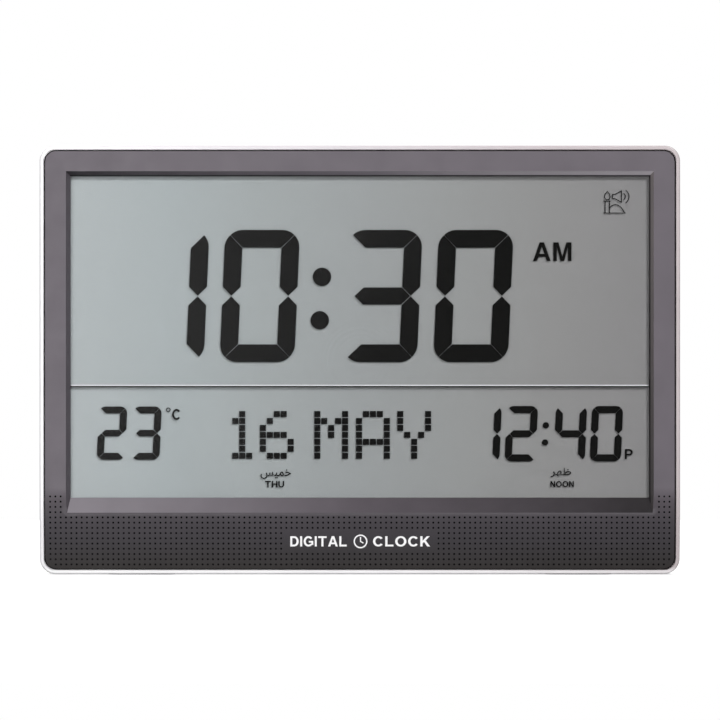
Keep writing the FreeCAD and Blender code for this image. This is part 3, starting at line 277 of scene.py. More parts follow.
class Net:
    """One procedural material, with short names for the nodes it needs."""

    def __init__(self, name):
        self.look = bpy.data.materials.new(name)
        self.look.use_nodes = True
        self.tree = self.look.node_tree
        self.shader = self.tree.nodes["Principled BSDF"]
        self.place = self.tree.nodes.new("ShaderNodeTexCoord").outputs["Object"]

    def feed(self, socket, value):
        """Link a node's output to a socket, or set a constant on it."""
        if isinstance(value, bpy.types.NodeSocket):
            self.tree.links.new(value, socket)
        else:
            socket.default_value = value

    def stretched(self, scale):
        """Object coordinates scaled along each axis."""
        node = self.tree.nodes.new("ShaderNodeMapping")
        node.inputs["Scale"].default_value = scale
        self.feed(node.inputs["Vector"], self.place)
        return node.outputs["Vector"]

    def noise(self, scale, detail=2.0, stretch=None):
        """Soft noise, 0 to 1."""
        node = self.tree.nodes.new("ShaderNodeTexNoise")
        node.inputs["Scale"].default_value = scale
        node.inputs["Detail"].default_value = detail
        self.feed(node.inputs["Vector"], self.stretched(stretch) if stretch else self.place)
        return node.outputs["Fac"]

    def cells(self, scale, distance="EUCLIDEAN", feature="F1", output="Distance", stretch=None):
        """Cellular pattern."""
        node = self.tree.nodes.new("ShaderNodeTexVoronoi")
        node.distance = distance
        node.feature = feature
        node.inputs["Scale"].default_value = scale
        self.feed(node.inputs["Vector"], self.stretched(stretch) if stretch else self.place)
        return node.outputs[output]

    def bands(self, scale, direction="X", distortion=0.0):
        """Parallel bands, 0 to 1."""
        node = self.tree.nodes.new("ShaderNodeTexWave")
        node.bands_direction = direction
        node.inputs["Scale"].default_value = scale
        node.inputs["Distortion"].default_value = distortion
        self.feed(node.inputs["Vector"], self.place)
        return node.outputs["Fac"]

    def along(self, axis, low, high):
        """0 at low and 1 at high along an axis of the object."""
        split = self.tree.nodes.new("ShaderNodeSeparateXYZ")
        self.feed(split.inputs[0], self.place)
        node = self.tree.nodes.new("ShaderNodeMapRange")
        self.feed(node.inputs["Value"], split.outputs[axis])
        node.inputs["From Min"].default_value = low
        node.inputs["From Max"].default_value = high
        return node.outputs["Result"]

    def ramp(self, value, stops, hard=False):
        """Colour for each value, from a list of stops."""
        node = self.tree.nodes.new("ShaderNodeValToRGB")
        node.color_ramp.interpolation = "CONSTANT" if hard else "LINEAR"
        points = node.color_ramp.elements
        while len(points) < len(stops):
            points.new(1.0)
        for point, (position, colour) in zip(points, stops):
            point.position = position
            point.color = colour
        self.feed(node.inputs["Fac"], value)
        return node.outputs["Color"]

    def mix(self, factor, a, b, blend="MIX"):
        """Blend of two colours."""
        node = self.tree.nodes.new("ShaderNodeMix")
        node.data_type = "RGBA"
        node.blend_type = blend
        self.feed(node.inputs[0], factor)
        self.feed(node.inputs[6], a)
        self.feed(node.inputs[7], b)
        return node.outputs[2]

    def mottled(self, colour, scale, low, detail=3.0, stretch=None):
        """The colour, darkened in soft clouds down to a share of itself."""
        clouds = self.ramp(self.noise(scale, detail, stretch), [(0.32, grey(low)), (0.68, grey(1.0))])
        return self.mix(1.0, colour, clouds, "MULTIPLY")

    def rough(self, low, high, scale, stretch=None):
        """Roughness that wanders between two values."""
        spread = self.ramp(self.noise(scale, 3.0, stretch), [(0.3, grey(low)), (0.7, grey(high))])
        self.feed(self.shader.inputs["Roughness"], spread)

    def bump(self, height, depth, strength=1.0):
        """Fine relief of the surface, depth in metres."""
        node = self.tree.nodes.new("ShaderNodeBump")
        node.inputs["Strength"].default_value = strength
        node.inputs["Distance"].default_value = depth
        self.feed(node.inputs["Height"], height)
        self.feed(self.shader.inputs["Normal"], node.outputs["Normal"])

    def set(self, **values):
        """Constants of the shader, with underscores for spaces."""
        for name, value in values.items():
            self.shader.inputs[name.replace("_", " ")].default_value = value

    def base(self, colour):
        """Base colour of the shader."""
        self.feed(self.shader.inputs["Base Color"], colour)


def moulded(name, colour, roughness, specular=0.4, grain=2600.0, depth=0.03 * MM, low=0.9, paint=None):
    """Moulded plastic: soft colour clouds, spark-eroded grain, uneven gloss."""
    net = Net(name)
    net.base(net.mottled(paint(net) if paint else colour, 45.0, low))
    net.rough(roughness - 0.05, roughness + 0.06, 140.0)
    net.bump(net.noise(grain, 3.0), depth, 0.5)
    net.set(Specular_IOR_Level=specular)
    return net.look


# ---- the front panel, in the order of its material slots ----
SLOTS = ("panel", "hole", "top", "bottom", "left", "right", "edge")
PANEL_COLOUR = rgb("615b62")


def panel_paint(net):
    """Grey-violet panel that deepens down the chin, as the moulding turns away from the light."""
    height = net.along("Z", 3.3 * MM, CHIN_TOP)
    return net.ramp(height, [(0.0, rgb("2d2a29")), (0.36, rgb("39363a")), (0.6, rgb("423e43")),
                             (0.84, rgb("4d474d")), (1.0, PANEL_COLOUR)])


def slope_paint(axis, low, high, stops, lip_shadow=None):
    """Painted reflection and shade that run along one bevel, with a painted shadow band where it meets the
    screen.
    """
    def paint(net):
        colour = net.ramp(net.along(axis, low, high), [(at, rgb(code)) for at, code in stops])
        if not lip_shadow:
            return colour
        # Painted shadow of the lip along the bevel's inner edge.
        shade = net.ramp(net.along(*lip_shadow), [(0.0, grey(0.12)), (0.8, grey(0.12)), (1.0, grey(1.0))])
        return net.mix(1.0, colour, shade, "MULTIPLY")
    return paint


def panel_looks():
    """Materials of the front moulding, in the order of SLOTS."""
    half, low, high = WINDOW_HALF, WINDOW_LOW, WINDOW_HIGH
    panel = moulded("panel_satin", None, 0.46, 0.25, paint=panel_paint)
    # Near-black painted shade inside the dimples and the sound holes.
    hole = moulded("hole_painted_shade", rgb("0a080b"), 0.8, 0.1)
    # The four bevels are one plastic, each painted with its own reflection and shade of the light; the top
    # and right ones also carry a painted lip shadow.
    top = moulded("bevel_top", None, 0.4, 0.3,
                  paint=slope_paint("X", -half, half, [(0, "363237"), (0.5, "7b757d"), (1, "c6c0c7")],
                                    ("Z", high, high + LIP_SHADOW)))
    bottom = moulded("bevel_bottom", None, 0.55, 0.12,
                     paint=slope_paint("X", -half, half, [(0, "7f7a80"), (0.5, "514b51"), (1, "201c1f")]))
    left = moulded("bevel_left", None, 0.4, 0.3,
                   paint=slope_paint("Z", low, high, [(0, "4d484e"), (1, "4d484e")]))
    right = moulded("bevel_right", None, 0.4, 0.3,
                    paint=slope_paint("Z", low, high, [(0, "4a4647"), (1, "787273")],
                                      ("X", half, half + LIP_SHADOW)))
    # Near-black painted shade on the rounded edge that drops into the gap beside the frame.
    edge = moulded("panel_edge_shade", rgb("171214"), 0.65, 0.1)
    return [panel, hole, top, bottom, left, right, edge]


def hole_places():
    """Centre of every dimple of the grille."""
    places = []
    middle = HOLE_COLUMNS // 2
    for row in range(-EXTRA_ROWS, HOLE_ROWS):
        for column in range(HOLE_COLUMNS):
            edge = min(column, HOLE_COLUMNS - 1 - column)
            if row < 0 and edge >= EXTRA_COLUMNS:
                continue
            if row == HOLE_ROWS - 1 and edge == 0:
                continue
            blank = BLANK_COLUMNS[0] <= column <= BLANK_COLUMNS[1] and BLANK_ROWS[0] <= row <= BLANK_ROWS[1]
            if not blank:
                places.append(((column - middle) * HOLE_PITCH, HOLE_TOP_ROW - row * HOLE_PITCH))
    return places


def on_front(v):
    """Whether a vertex lies on the front face."""
    return abs(v.co.y - FRONT - setback(v.co.z)) < SAME_FACE


def open_front(bm):
    """Take the front skin off the CAD bezel and return the edges round the gap it leaves."""
    skin = [f for f in bm.faces if f.normal.y < -0.9 and all(on_front(v) for v in f.verts)]
    bmesh.ops.delete(bm, geom=skin, context="FACES")
    return [e for e in bm.edges if len(e.link_faces) == 1]


def existing_holes(rims):
    """Middles of the sound holes that the bezel already has in front of the speaker."""
    seen = set()
    middles = []
    links = {}
    for e in rims:
        for v in e.verts:
            links.setdefault(v, []).append(e)
    for start in links:
        if start in seen:
            continue
        loop, front = [], [start]
        while front:
            v = front.pop()
            if v in seen:
                continue
            seen.add(v)
            loop.append(v)
            front += [e.other_vert(v) for e in links[v]]
        xs = [v.co.x for v in loop]
        zs = [v.co.z for v in loop]
        if max(xs) - min(xs) < 3 * HOLE_R:
            middles.append(((max(xs) + min(xs)) / 2, (max(zs) + min(zs)) / 2))
    return middles


def reskin(bm, rims, places):
    """Close the front again with one triangulated skin that carries every dimple's rim."""
    corners = list({v for e in rims for v in e.verts})
    index = {v: i for i, v in enumerate(corners)}
    points = [Vector((v.co.x, v.co.z)) for v in corners]
    walls = [(index[e.verts[0]], index[e.verts[1]]) for e in rims]
    hole_loops = []
    for x, z in places:
        first = len(points)
        points += [Vector(p) for p in disc(x, z, HOLE_R, HOLE_SIDES)]
        loop = list(range(first, first + HOLE_SIDES))
        walls += [(loop[i], loop[(i + 1) % HOLE_SIDES]) for i in range(HOLE_SIDES)]
        hole_loops.append(loop)
    points += [Vector((x, z)) for x in BEND_X for z in BEND_Z]
    out, _, faces, origins, _, _ = geometry.delaunay_2d_cdt(points, walls, [], 0, 1e-7)
    verts = [None] * len(out)
    for i, sources in enumerate(origins):
        known = [s for s in sources if s < len(corners)]
        if known:
            verts[i] = corners[known[0]]
        else:
            x, z = out[i]
            verts[i] = bm.verts.new((x, FRONT + setback(z), z))
    spot = {s: i for i, sources in enumerate(origins) for s in sources}
    barrier = {frozenset((spot[a], spot[b])) for a, b in walls}
    beside = {}
    for f, tri in enumerate(faces):
        for a, b in zip(tri, tri[1:] + tri[:1]):
            beside.setdefault(frozenset((a, b)), []).append(f)
    start = spot[index[max(corners, key=lambda v: v.co.z)]]
    middle = {f: sum((out[i] for i in tri), Vector((0, 0))) / 3 for f, tri in enumerate(faces)}
    seed = min((f for f, tri in enumerate(faces) if start in tri), key=lambda f: abs(middle[f].x))
    inside, todo = set(), [seed]
    while todo:
        f = todo.pop()
        if f in inside:
            continue
        inside.add(f)
        for a, b in zip(faces[f], faces[f][1:] + faces[f][:1]):
            if frozenset((a, b)) not in barrier:
                todo += [g for g in beside[frozenset((a, b))] if g not in inside]
    for f in inside:
        bm.faces.new([verts[i] for i in faces[f]])
    return [[verts[spot[i]] for i in loop] for loop in hole_loops]


def sink_holes(bm, loops):
    """Give every rim a wall and a floor, both near black with painted shade."""
    dark = []
    for loop in loops:
        low = [bm.verts.new((v.co.x, v.co.y + HOLE_DEPTH, v.co.z)) for v in loop]
        for i in range(HOLE_SIDES):
            j = (i + 1) % HOLE_SIDES
            dark.append(bm.faces.new((loop[i], loop[j], low[j], low[i])))
        dark.append(bm.faces.new(low))
    for face in dark:
        face.material_index = SLOTS.index("hole")


def colour_bevels(bm):
    """Give the four sloping sides of the window their own material, which carries that side's painted
    reflection and shade.
    """
    for f in bm.faces:
        c = f.calc_center_median()
        within = abs(c.x) < BEVEL_HALF and BEVEL_LOW < c.z < BEVEL_HIGH
        shallow = c.y < FRONT + WINDOW_DEPTH + SAME_FACE
        if not (within and shallow) or f.material_index or not on_slope(f, c):
            continue
        if abs(f.normal.x) > 0.5:
            f.material_index = SLOTS.index("left" if c.x < 0 else "right")
        else:
            f.material_index = SLOTS.index("top" if c.z > WINDOW_MIDDLE else "bottom")


def on_slope(f, c):
    """Whether a face belongs to the window's bevel, which faces the opening."""
    towards = Vector((-c.x, 0, WINDOW_MIDDLE - c.z))
    tilted = -0.97 < f.normal.y < -0.1
    inset = min(BEVEL_HALF - abs(c.x), c.z - BEVEL_LOW, BEVEL_HIGH - c.z)
    return tilted and f.normal.dot(towards) > 0 and inset < BEVEL_MOST


def colour_edge(bm):
    """Paint shade on the rounded edge that drops into the gap beside the silver frame."""
    low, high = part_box("front_bezel")
    corner = PANEL_CORNER
    for f in bm.faces:
        c = f.calc_center_median()
        rim = min(c.x - low.x, high.x - c.x, c.z - low.z, high.z - c.z)
        dx = max(0.0, abs(c.x) - (high.x - corner))
        dz = max(0.0, c.z - (high.z - corner), (low.z + corner) - c.z)
        if dx and dz:
            rim = corner - hypot(dx, dz)
        if rim < EDGE_SHADE_WIDTH and not f.material_index:
            f.material_index = SLOTS.index("edge")


def colour_sound_holes(bm, middles):
    """Paint shade on the walls of the sound holes in front of the speaker."""
    for f in bm.faces:
        c = f.calc_center_median()
        if abs(f.normal.y) < 0.3 and min(hypot(c.x - x, c.z - z) for x, z in middles) < HOLE_R * 1.1:
            f.material_index = SLOTS.index("hole")


def build_bezel():
    """The moulded front: the CAD bezel with its grille of fine dimples moulded in."""
    bm = bmesh.new()
    bm.from_mesh(NODES["front_bezel"].data)
    for f in bm.faces:
        f.material_index = 0
    bmesh.ops.remove_doubles(bm, verts=bm.verts, dist=0.001 * MM)
    bm.normal_update()
    rims = open_front(bm)
    taken = existing_holes(rims)
    places = [p for p in hole_places()
              if all(hypot(p[0] - q[0], p[1] - q[1]) > HOLE_PITCH / 2 for q in taken)]
    loops = reskin(bm, rims, places)
    sink_holes(bm, loops)
    bmesh.ops.recalc_face_normals(bm, faces=bm.faces)
    bm.normal_update()
    colour_bevels(bm)
    colour_edge(bm)
    colour_sound_holes(bm, taken)
    piece = finish_piece("front_bezel_moulding", bm, panel_looks(),
                         replaced=["front_bezel"])
    even = piece.modifiers.new("even_normals", "WEIGHTED_NORMAL")
    even.keep_sharp = True
    return piece


# ---- the two LCDs ----
SLANT = tan(radians(2.5))


class Digits:
    """Seven-segment figures of one size: rounded outside corners, mitred joints, pointed waists."""

    LIT = {"0": "abcdef", "1": "bc", "2": "abged", "3": "abgcd", "4": "fgbc"}

    def __init__(self, height, width, line, z0, gap):
        self.height, self.width, self.line, self.z0, self.gap = height, width, line, z0, gap

    def shapes(self):
        """Outline of each segment in the upright figure, with its lower left corner at the origin."""
        h, w, s, g = self.height, self.width, self.line, self.gap / 2
        r = s * 0.98
        mid = h / 2
        k = g * sqrt(2)
        top = ([(s + k, h - s)] + [self.trim(p, 1, g) for p in arc(r, h - r, r, 135, 90, 6)]
               + [self.trim(p, -1, g) for p in arc(w - r, h - r, r, 90, 45, 6)] + [(w - s - k, h - s)])
        right = ([(w - s, h - s - k)] + [self.drop(p, g) for p in arc(w - r, h - r, r, 45, 0, 6)]
                 + [(w, mid + s / 2 + g), (w - s / 2, mid + g), (w - s, mid + s / 2 + g)])
        tip = s / 2 + 2 * g
        middle = [(tip, mid), (tip + s / 2, mid - s / 2 + g), (w - tip - s / 2, mid - s / 2 + g),
                  (w - tip, mid), (w - tip - s / 2, mid + s / 2 - g), (tip + s / 2, mid + s / 2 - g)]
        flip_x = [(w - x, z) for x, z in reversed(right)]
        return {"a": list(reversed(top)), "b": list(reversed(right)), "f": list(reversed(flip_x)),
                "d": [(x, h - z) for x, z in top], "c": [(x, h - z) for x, z in right],
                "e": [(x, h - z) for x, z in flip_x], "g": middle}

    def trim(self, p, side, g):
        """Keep the top segment's corner clear of the mitre."""
        return (p[0] + side * g * 0.7, p[1])

    def drop(self, p, g):
        """Keep the side segment's corner clear of the mitre."""
        return (p[0], p[1] - g * 0.7)

    def draw(self, bm, figure, x_left):
        """Figure whose left side is at x_left at mid height."""
        for name, outline in self.shapes().items():
            if name in self.LIT[figure]:
                places = [(x_left + x + (z - self.height / 2) * SLANT, self.z0 + z) for x, z in outline]
                prism(bm, places, INK_FRONT, INK_BACK)


def ink_look():
    """Segments driven dark: nearly black, with the faint olive cast of a crossed polariser."""
    net = Net("lcd_ink")
    net.base(net.mottled(rgb("0d0c0b"), 60.0, 0.9))
    net.rough(0.75, 0.9, 90.0)
    net.set(Specular_IOR_Level=0.03)
    return net.look


# Places on the screen in mm. Digits: left side of the large ones, right side of the small ones, left side
# of the dotted ones. Dots: x, z. Degree: x, z, radii. Words: left, right, bottom, top.
TIME_DIGITS = (("1", -134.2), ("0", -80.4), ("3", -7.6), ("0", 46.5))
TIME_HEIGHT = 78.6
TIME_Z = 126.2
TIME_READ_Z = 193.8
TIME_DOTS = ((-22.5, 176.9), (-23.8, 151.1))
TIME_DOT_R = 5.5
HALF_DAY = (102.9, 125.7, 186.3, 197.4)
TEMPERATURE_DIGITS = (("2", -138.4), ("3", -118.0))
DEGREE = (-113.8, 97.9, 1.35, 0.85)
CELSIUS = (-111.5, -106.4, 91.9, 98.4)
DATE_LETTERS = (("1", -75.8), ("6", -59.4), ("M", -27.1), ("A", -2.3), ("Y", 22.2))
WEEKDAY_ARABIC = (-59.0, -40.9, 56.9, 62.6)
WEEKDAY = (-56.3, -45.0, 51.8, 55.7)
EVENT_DIGITS = (("1", 84.0), ("2", 105.5), ("4", 134.7), ("0", 156.1))
EVENT_DOTS = ((110.5, 88.7), (110.0, 78.5))
EVENT_DOT_R = 1.9
EVENT_HALF = (157.4, 162.1, 68.6, 74.6)
EVENT_ARABIC = (113.2, 125.5, 57.8, 63.4)
EVENT_NAME = (113.2, 127.1, 52.0, 55.6)
CALL_SIGN = (144.8, 214.6)


def metres(values):
    """Values in mm as metres."""
    return [value * MM for value in values]


def ink_capitals(bm, text, box):
    """Bold capitals in LCD ink, box in mm."""
    spell(bm, text, *metres(box), INK_FRONT, INK_BACK)


def ink_word(bm, text, box):
    """Arabic word in LCD ink, box in mm."""
    word(bm, text, *metres(box), INK_FRONT, INK_BACK, weight=0.01)


def ink_dots(bm, places, r):
    """Round dots in LCD ink, in mm."""
    for x, z in places:
        prism(bm, disc(x * MM, z * MM, r * MM), INK_FRONT, INK_BACK)


def draw_time(ink):
    """The hour and minutes, the colon and the half-day sign."""
    bm = bmesh.new()
    big = Digits(TIME_HEIGHT * MM, 44.4 * MM, 10.6 * MM, TIME_Z * MM, 0.34 * MM)
    lean = (TIME_READ_Z * MM - TIME_Z * MM - TIME_HEIGHT * MM / 2) * SLANT
    for figure, x in TIME_DIGITS:
        big.draw(bm, figure, x * MM - lean)
    finish_piece("time_digits", bm, [ink])
    bm = bmesh.new()
    ink_dots(bm, TIME_DOTS, TIME_DOT_R)
    finish_piece("time_colon", bm, [ink])
    bm = bmesh.new()
    ink_capitals(bm, "AM", HALF_DAY)
    finish_piece("half_day_sign", bm, [ink])


def draw_small_digits(bm, digits, height, width, line, z0):
    """Small figures, placed by the right side of each at three quarters of its height."""
    small = Digits(height * MM, width * MM, line * MM, z0 * MM, 0.2 * MM)
    lean = 0.25 * height * MM * SLANT
    for figure, x in digits:
        small.draw(bm, figure, x * MM - width * MM - lean)


def draw_temperature(ink):
    """The temperature with its degree sign."""
    bm = bmesh.new()
    draw_small_digits(bm, TEMPERATURE_DIGITS, height=31.7, width=16.9, line=4.2, z0=68.2)
    finish_piece("temperature_digits", bm, [ink])
    bm = bmesh.new()
    ring(bm, *metres(DEGREE), INK_FRONT, INK_BACK)
    ink_capitals(bm, "C", CELSIUS)
    finish_piece("degree_sign", bm, [ink])


DOTS = {
    "1": (".#...", "##...", ".#...", ".#...", ".#...", ".#...", "###.."),
    "6": ("..##.", ".#...", "#....", "####.", "#...#", "#...#", ".###."),
    "M": ("#...#", "##.##", "#.#.#", "#.#.#", "#...#", "#...#", "#...#"),
    "A": (".###.", "#...#", "#...#", "#...#", "#####", "#...#", "#...#"),
    "Y": ("#...#", "#...#", "#...#", ".#.#.", "..#..", "..#..", "..#.."),
}


def draw_date(ink):
    """Day and month in dots, and the weekday in two languages."""
    bm = bmesh.new()
    cell, pitch, top = 3.6 * MM, 4.13 * MM, 97.2 * MM
    for letter, x0 in DATE_LETTERS:
        for row, line in enumerate(DOTS[letter]):
            for column, mark in enumerate(line):
                if mark == "#":
                    x = x0 * MM + column * pitch
                    z = top - row * pitch
                    prism(bm, bar(x, x + cell, z - cell, z), INK_FRONT, INK_BACK)
    finish_piece("date_dots", bm, [ink])
    bm = bmesh.new()
    ink_word(bm, "ﺲﻴﻤﺧ", WEEKDAY_ARABIC)
    ink_capitals(bm, "THU", WEEKDAY)
    finish_piece("weekday_words", bm, [ink])


def draw_event(ink):
    """The next event's time with its name in two languages."""
    bm = bmesh.new()
    draw_small_digits(bm, EVENT_DIGITS, height=33.0, width=18.5, line=4.3, z0=67.2)
    ink_dots(bm, EVENT_DOTS, EVENT_DOT_R)
    finish_piece("event_digits", bm, [ink])
    bm = bmesh.new()
    ink_capitals(bm, "P", EVENT_HALF)
    ink_word(bm, "ﺮﻬﻇ", EVENT_ARABIC)
    ink_capitals(bm, "NOON", EVENT_NAME)
    finish_piece("event_words", bm, [ink])


def draw_call_sign(ink):
    """Small sign of a tower, a dome and a loudspeaker with sound waves."""
    bm = bmesh.new()
    line = 0.5 * MM
    x0, z0 = metres(CALL_SIGN)

    def at(points):
        return [(x0 + x * MM, z0 + z * MM) for x, z in points]
    tower_head = [(1.2, 8.2), (0.5, 9.6), (0.9, 11.5), (2.2, 13.0), (3.5, 11.5), (3.9, 9.6), (3.2, 8.2),
                  (1.2, 8.2)]
    dome = [(3.6, 3.2), (4.8, 4.6), (6.8, 5.3), (8.8, 4.8), (10.3, 3.6), (11.6, 1.9), (12.3, 0.5)]
    loudspeaker = [(5.3, 8.7), (6.8, 8.7), (10.6, 6.6), (10.6, 13.4), (6.8, 11.3), (5.3, 11.3), (5.3, 8.7)]
    strokes = [tower_head, dome, loudspeaker, [(-0.1, 7.3), (4.3, 7.3)], [(0.9, 7.3), (0.9, 0.3)],
               [(3.5, 7.3), (3.5, 0.3)], [(-0.1, 0.2), (13.2, 0.2)]]
    for points in strokes:
        prism(bm, stroke(at(points), line), INK_FRONT, INK_BACK)
    for r, half_turn in ((2.3, 58), (4.5, 56)):
        points = arc(x0 + 10.6 * MM, z0 + 10.0 * MM, r * MM, -half_turn, half_turn)
        prism(bm, stroke(points, line), INK_FRONT, INK_BACK)
    finish_piece("call_sign", bm, [ink])


def clear_look(name, colour, alpha, specular):
    """Clear sheet: almost no colour, faint dust and wipe marks in its gloss."""
    net = Net(name)
    net.base(net.mottled(colour, 30.0, 0.8))
    net.rough(0.08, 0.16, 25.0, (1.0, 1.0, 0.25))
    net.set(Alpha=alpha, Specular_IOR_Level=specular, IOR=1.49)
    net.look.surface_render_method = "BLENDED"
    return net.look


def reflector_look():
    """Grey-green reflecting film behind the LCD, brighter towards the light on its left."""
    net = Net("reflector_grey")
    across = net.along("X", -WINDOW_HALF, WINDOW_HALF)
    stops = [(0.0, "b3babc"), (0.17, "abb3b5"), (0.33, "a4aaab"), (0.5, "9da1a2"), (0.67, "989a9a"),
             (0.83, "929292"), (1.0, "8b8a8b")]
    shade = net.ramp(across, [(at, rgb(code)) for at, code in stops])
    net.base(net.mottled(shade, 500.0, 0.985, 2.0))
    net.rough(0.55, 0.7, 300.0)
    net.set(Metallic=0.0, Specular_IOR_Level=0.2)
    return net.look


def build_cell(prefix, look):
    """One LCD cell: front polariser and both glasses as one clear stepped block."""
    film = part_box(prefix + "_front_polariser")
    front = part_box(prefix + "_front_glass")
    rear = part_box(prefix + "_rear_glass")
    bm = bmesh.new()
    sections = [(film[0].y, film), (film[1].y, film), (front[0].y, front), (front[1].y, front),
                (rear[0].y, rear), (rear[1].y, rear)]
    loops = []
    for y, (low, high) in sections:
        corners = ((low.x, low.z), (high.x, low.z), (high.x, high.z), (low.x, high.z))
        loops.append([bm.verts.new((x, y, z)) for x, z in corners])
    bm.faces.new(loops[0])
    bm.faces.new(list(reversed(loops[-1])))
    for a, b in zip(loops, loops[1:]):
        for i in range(4):
            j = (i + 1) % 4
            bm.faces.new((a[i], a[j], b[j], b[i]))
    parts = [prefix + "_front_polariser", prefix + "_front_glass", prefix + "_rear_glass"]
    finish_piece(prefix + "_cell", bm, [look], replaced=parts)


def build_display():
    """Everything seen through the window."""
    ink = ink_look()
    draw_time(ink)
    draw_temperature(ink)
    draw_date(ink)
    draw_event(ink)
    draw_call_sign(ink)
    cell = clear_look("lcd_cell_clear", rgb("2c302e"), 0.02, 0.2)
    build_cell("time_lcd", cell)
    build_cell("calendar_lcd", cell)
    film = reflector_look()
    for name in ("time_lcd_reflector", "calendar_lcd_reflector"):
        dress(name, film)
    dress("display_lens", clear_look("lens_acrylic", rgb("303334"), 0.04, 0.3))
    # Near-white strip just above the rib: the ground lower edge of the time glass, painted bright as a
    # highlight of its glint.
    bm = bmesh.new()
    half = WINDOW_HALF - 0.1 * MM
    prism(bm, bar(-half, half, RIB_TOP + 0.02 * MM, RIB_TOP + 0.6 * MM), INK_FRONT, INK_BACK)
    edge = Net("edge_glint_white")
    edge.base(edge.mottled(rgb("f0f2f4"), 300.0, 0.95))
    edge.rough(0.3, 0.5, 500.0)
    finish_piece("painted_edge_glint", bm, [edge.look])


PRINT_T = 0.03 * MM
CHIN_WORDS = (("DIGITAL", (-41.3, -7.8, 16.8, 22.9)), ("CLOCK", (7.8, 41.7, 16.8, 22.9)))
CHIN_DIAL = (0.4, 19.8)


def draw_chin_mark():
    """Generic white print on the chin: a plain dial between two common words."""
    front, back = -PRINT_T, 0.02 * MM
    net = Net("white_print")
    net.base(net.mottled(rgb("f6f5f6"), 700.0, 0.93))
    net.rough(0.4, 0.55, 1500.0)
    net.bump(net.noise(3500.0, 2.0), 0.005 * MM, 0.3)
    bm = bmesh.new()
    for text, box in CHIN_WORDS:
        spell(bm, text, *metres(box), front, back)
    x, z = metres(CHIN_DIAL)
    ring(bm, x, z, 4.1 * MM, 3.3 * MM, front, back)
    prism(bm, stroke([(x, z + 2.6 * MM), (x, z), (x + 1.7 * MM, z - 1.0 * MM)], 0.7 * MM), front, back)
    lay_on_chin(bm)
    finish_piece("chin_print", bm, [net.look])


# ---- printed and moulded signs on the back ----
DOOR_T = 2.0 * MM
NUB_X = -28.0 * MM


class BackSigns:
    """Small flat signs on a face that looks backwards, drawn as someone behind the clock sees them."""

    def __init__(self, bm, x, z, y):
        self.bm, self.x, self.z, self.y = bm, x, z, y

    def place(self, points):
        return [(self.x - u * MM, self.z + v * MM) for u, v in points]

    def fill(self, points):
        prism(self.bm, self.place(points), self.y - PRINT_T, self.y + PRINT_T)

    def line(self, points, width=0.4):
        self.fill(stroke(points, width))

    def loop(self, u, v, r, width=0.4):
        shape = [self.place(disc(u, v, r)), self.place(disc(u, v, r - width))]
        plate(self.bm, shape, self.y - PRINT_T, self.y + PRINT_T)


def pale_print():
    """Pale grey pad print."""
    net = Net("pale_print")
    net.base(net.mottled(rgb("c9c8cc"), 700.0, 0.88))
    net.rough(0.45, 0.6, 900.0)
    net.set(Specular_IOR_Level=0.3)
    return net.look


def draw_key_signs(ink):
    """A plain sign beside every key: dial, up, down, bell, globe, restart, and off or on for the switch."""
    bm = bmesh.new()
    beside = KEY_X - 16.5 * MM

    def signs(node):
        low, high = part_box(node)
        return BackSigns(bm, beside, (low.z + high.z) / 2, BACK)
    dial = signs("mode_button")
    dial.loop(0, 0, 2.4)
    dial.line([(0, 1.6), (0, 0), (1.2, -0.6)])
    signs("up_button").fill([(-2.2, -1.6), (2.2, -1.6), (0, 2.0)])
    signs("down_button").fill([(-2.2, 1.6), (0, -2.0), (2.2, 1.6)])
    bell = signs("alarm_button")
    bell.fill([(-2.2, -1.2), (2.2, -1.2), (1.5, -0.4)] + arc(0, 0.6, 1.4, 0, 180) + [(-1.5, -0.4)])
    bell.fill(disc(0, -1.8, 0.45, 16))
    globe = signs("zone_button")
    globe.loop(0, 0, 2.4)
    globe.line([(-2.0, 0), (2.0, 0)], 0.35)
    for side in (-1, 1):
        globe.line([(side * 0.3, 2.0), (side * 1.0, 0.25)], 0.35)
        globe.line([(side * 1.0, -0.25), (side * 0.3, -2.0)], 0.35)
    restart = signs("reset_button")
    restart.line(arc(0, 0, 1.7, 60, 340, 24), 0.45)
    restart.fill([(0.5, 0.6), (0.9, 2.6), (2.4, 1.2)])
    switch = signs("alarm_switch_knob")
    switch.loop(-2.4, 0, 1.1, 0.35)
    switch.line([(2.4, -1.1), (2.4, 1.1)])
    finish_piece("key_signs", bm, [ink])


def draw_door_marks(ink):
    """Cell outlines with plus and minus on the inside of the battery door."""
    bm = bmesh.new()
    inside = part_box("battery_door")[1].y - DOOR_T
    for i in range(1, 5):
        low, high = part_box("battery_cell_%d" % i)
        plus = 1 if low.x < NUB_X else -1
        sign = BackSigns(bm, 0.0, (low.z + high.z) / 2, inside)
        for end in (1, -1):
            sign.line([(-22, end * 5), (22, end * 5)], 0.3)
        for end in (-1, 1):
            sign.line([(end * 22, -4.8), (end * 22, 4.8)], 0.3)
        sign.line([(plus * 18.6, 0), (plus * 15.4, 0)], 0.5)
        sign.line([(plus * 17, 0.3), (plus * 17, 1.6)], 0.5)
        sign.line([(plus * 17, -0.3), (plus * 17, -1.6)], 0.5)
        sign.line([(-plus * 18.6, 0), (-plus * 15.4, 0)], 0.5)
    finish_piece("door_marks", bm, [ink], body="battery_door")


# ---- CAD nodes that keep their shape ----
def dress(name, look):
    """Give a CAD node its finished material."""
    NODES[name].data.materials.clear()
    NODES[name].data.materials.append(look)


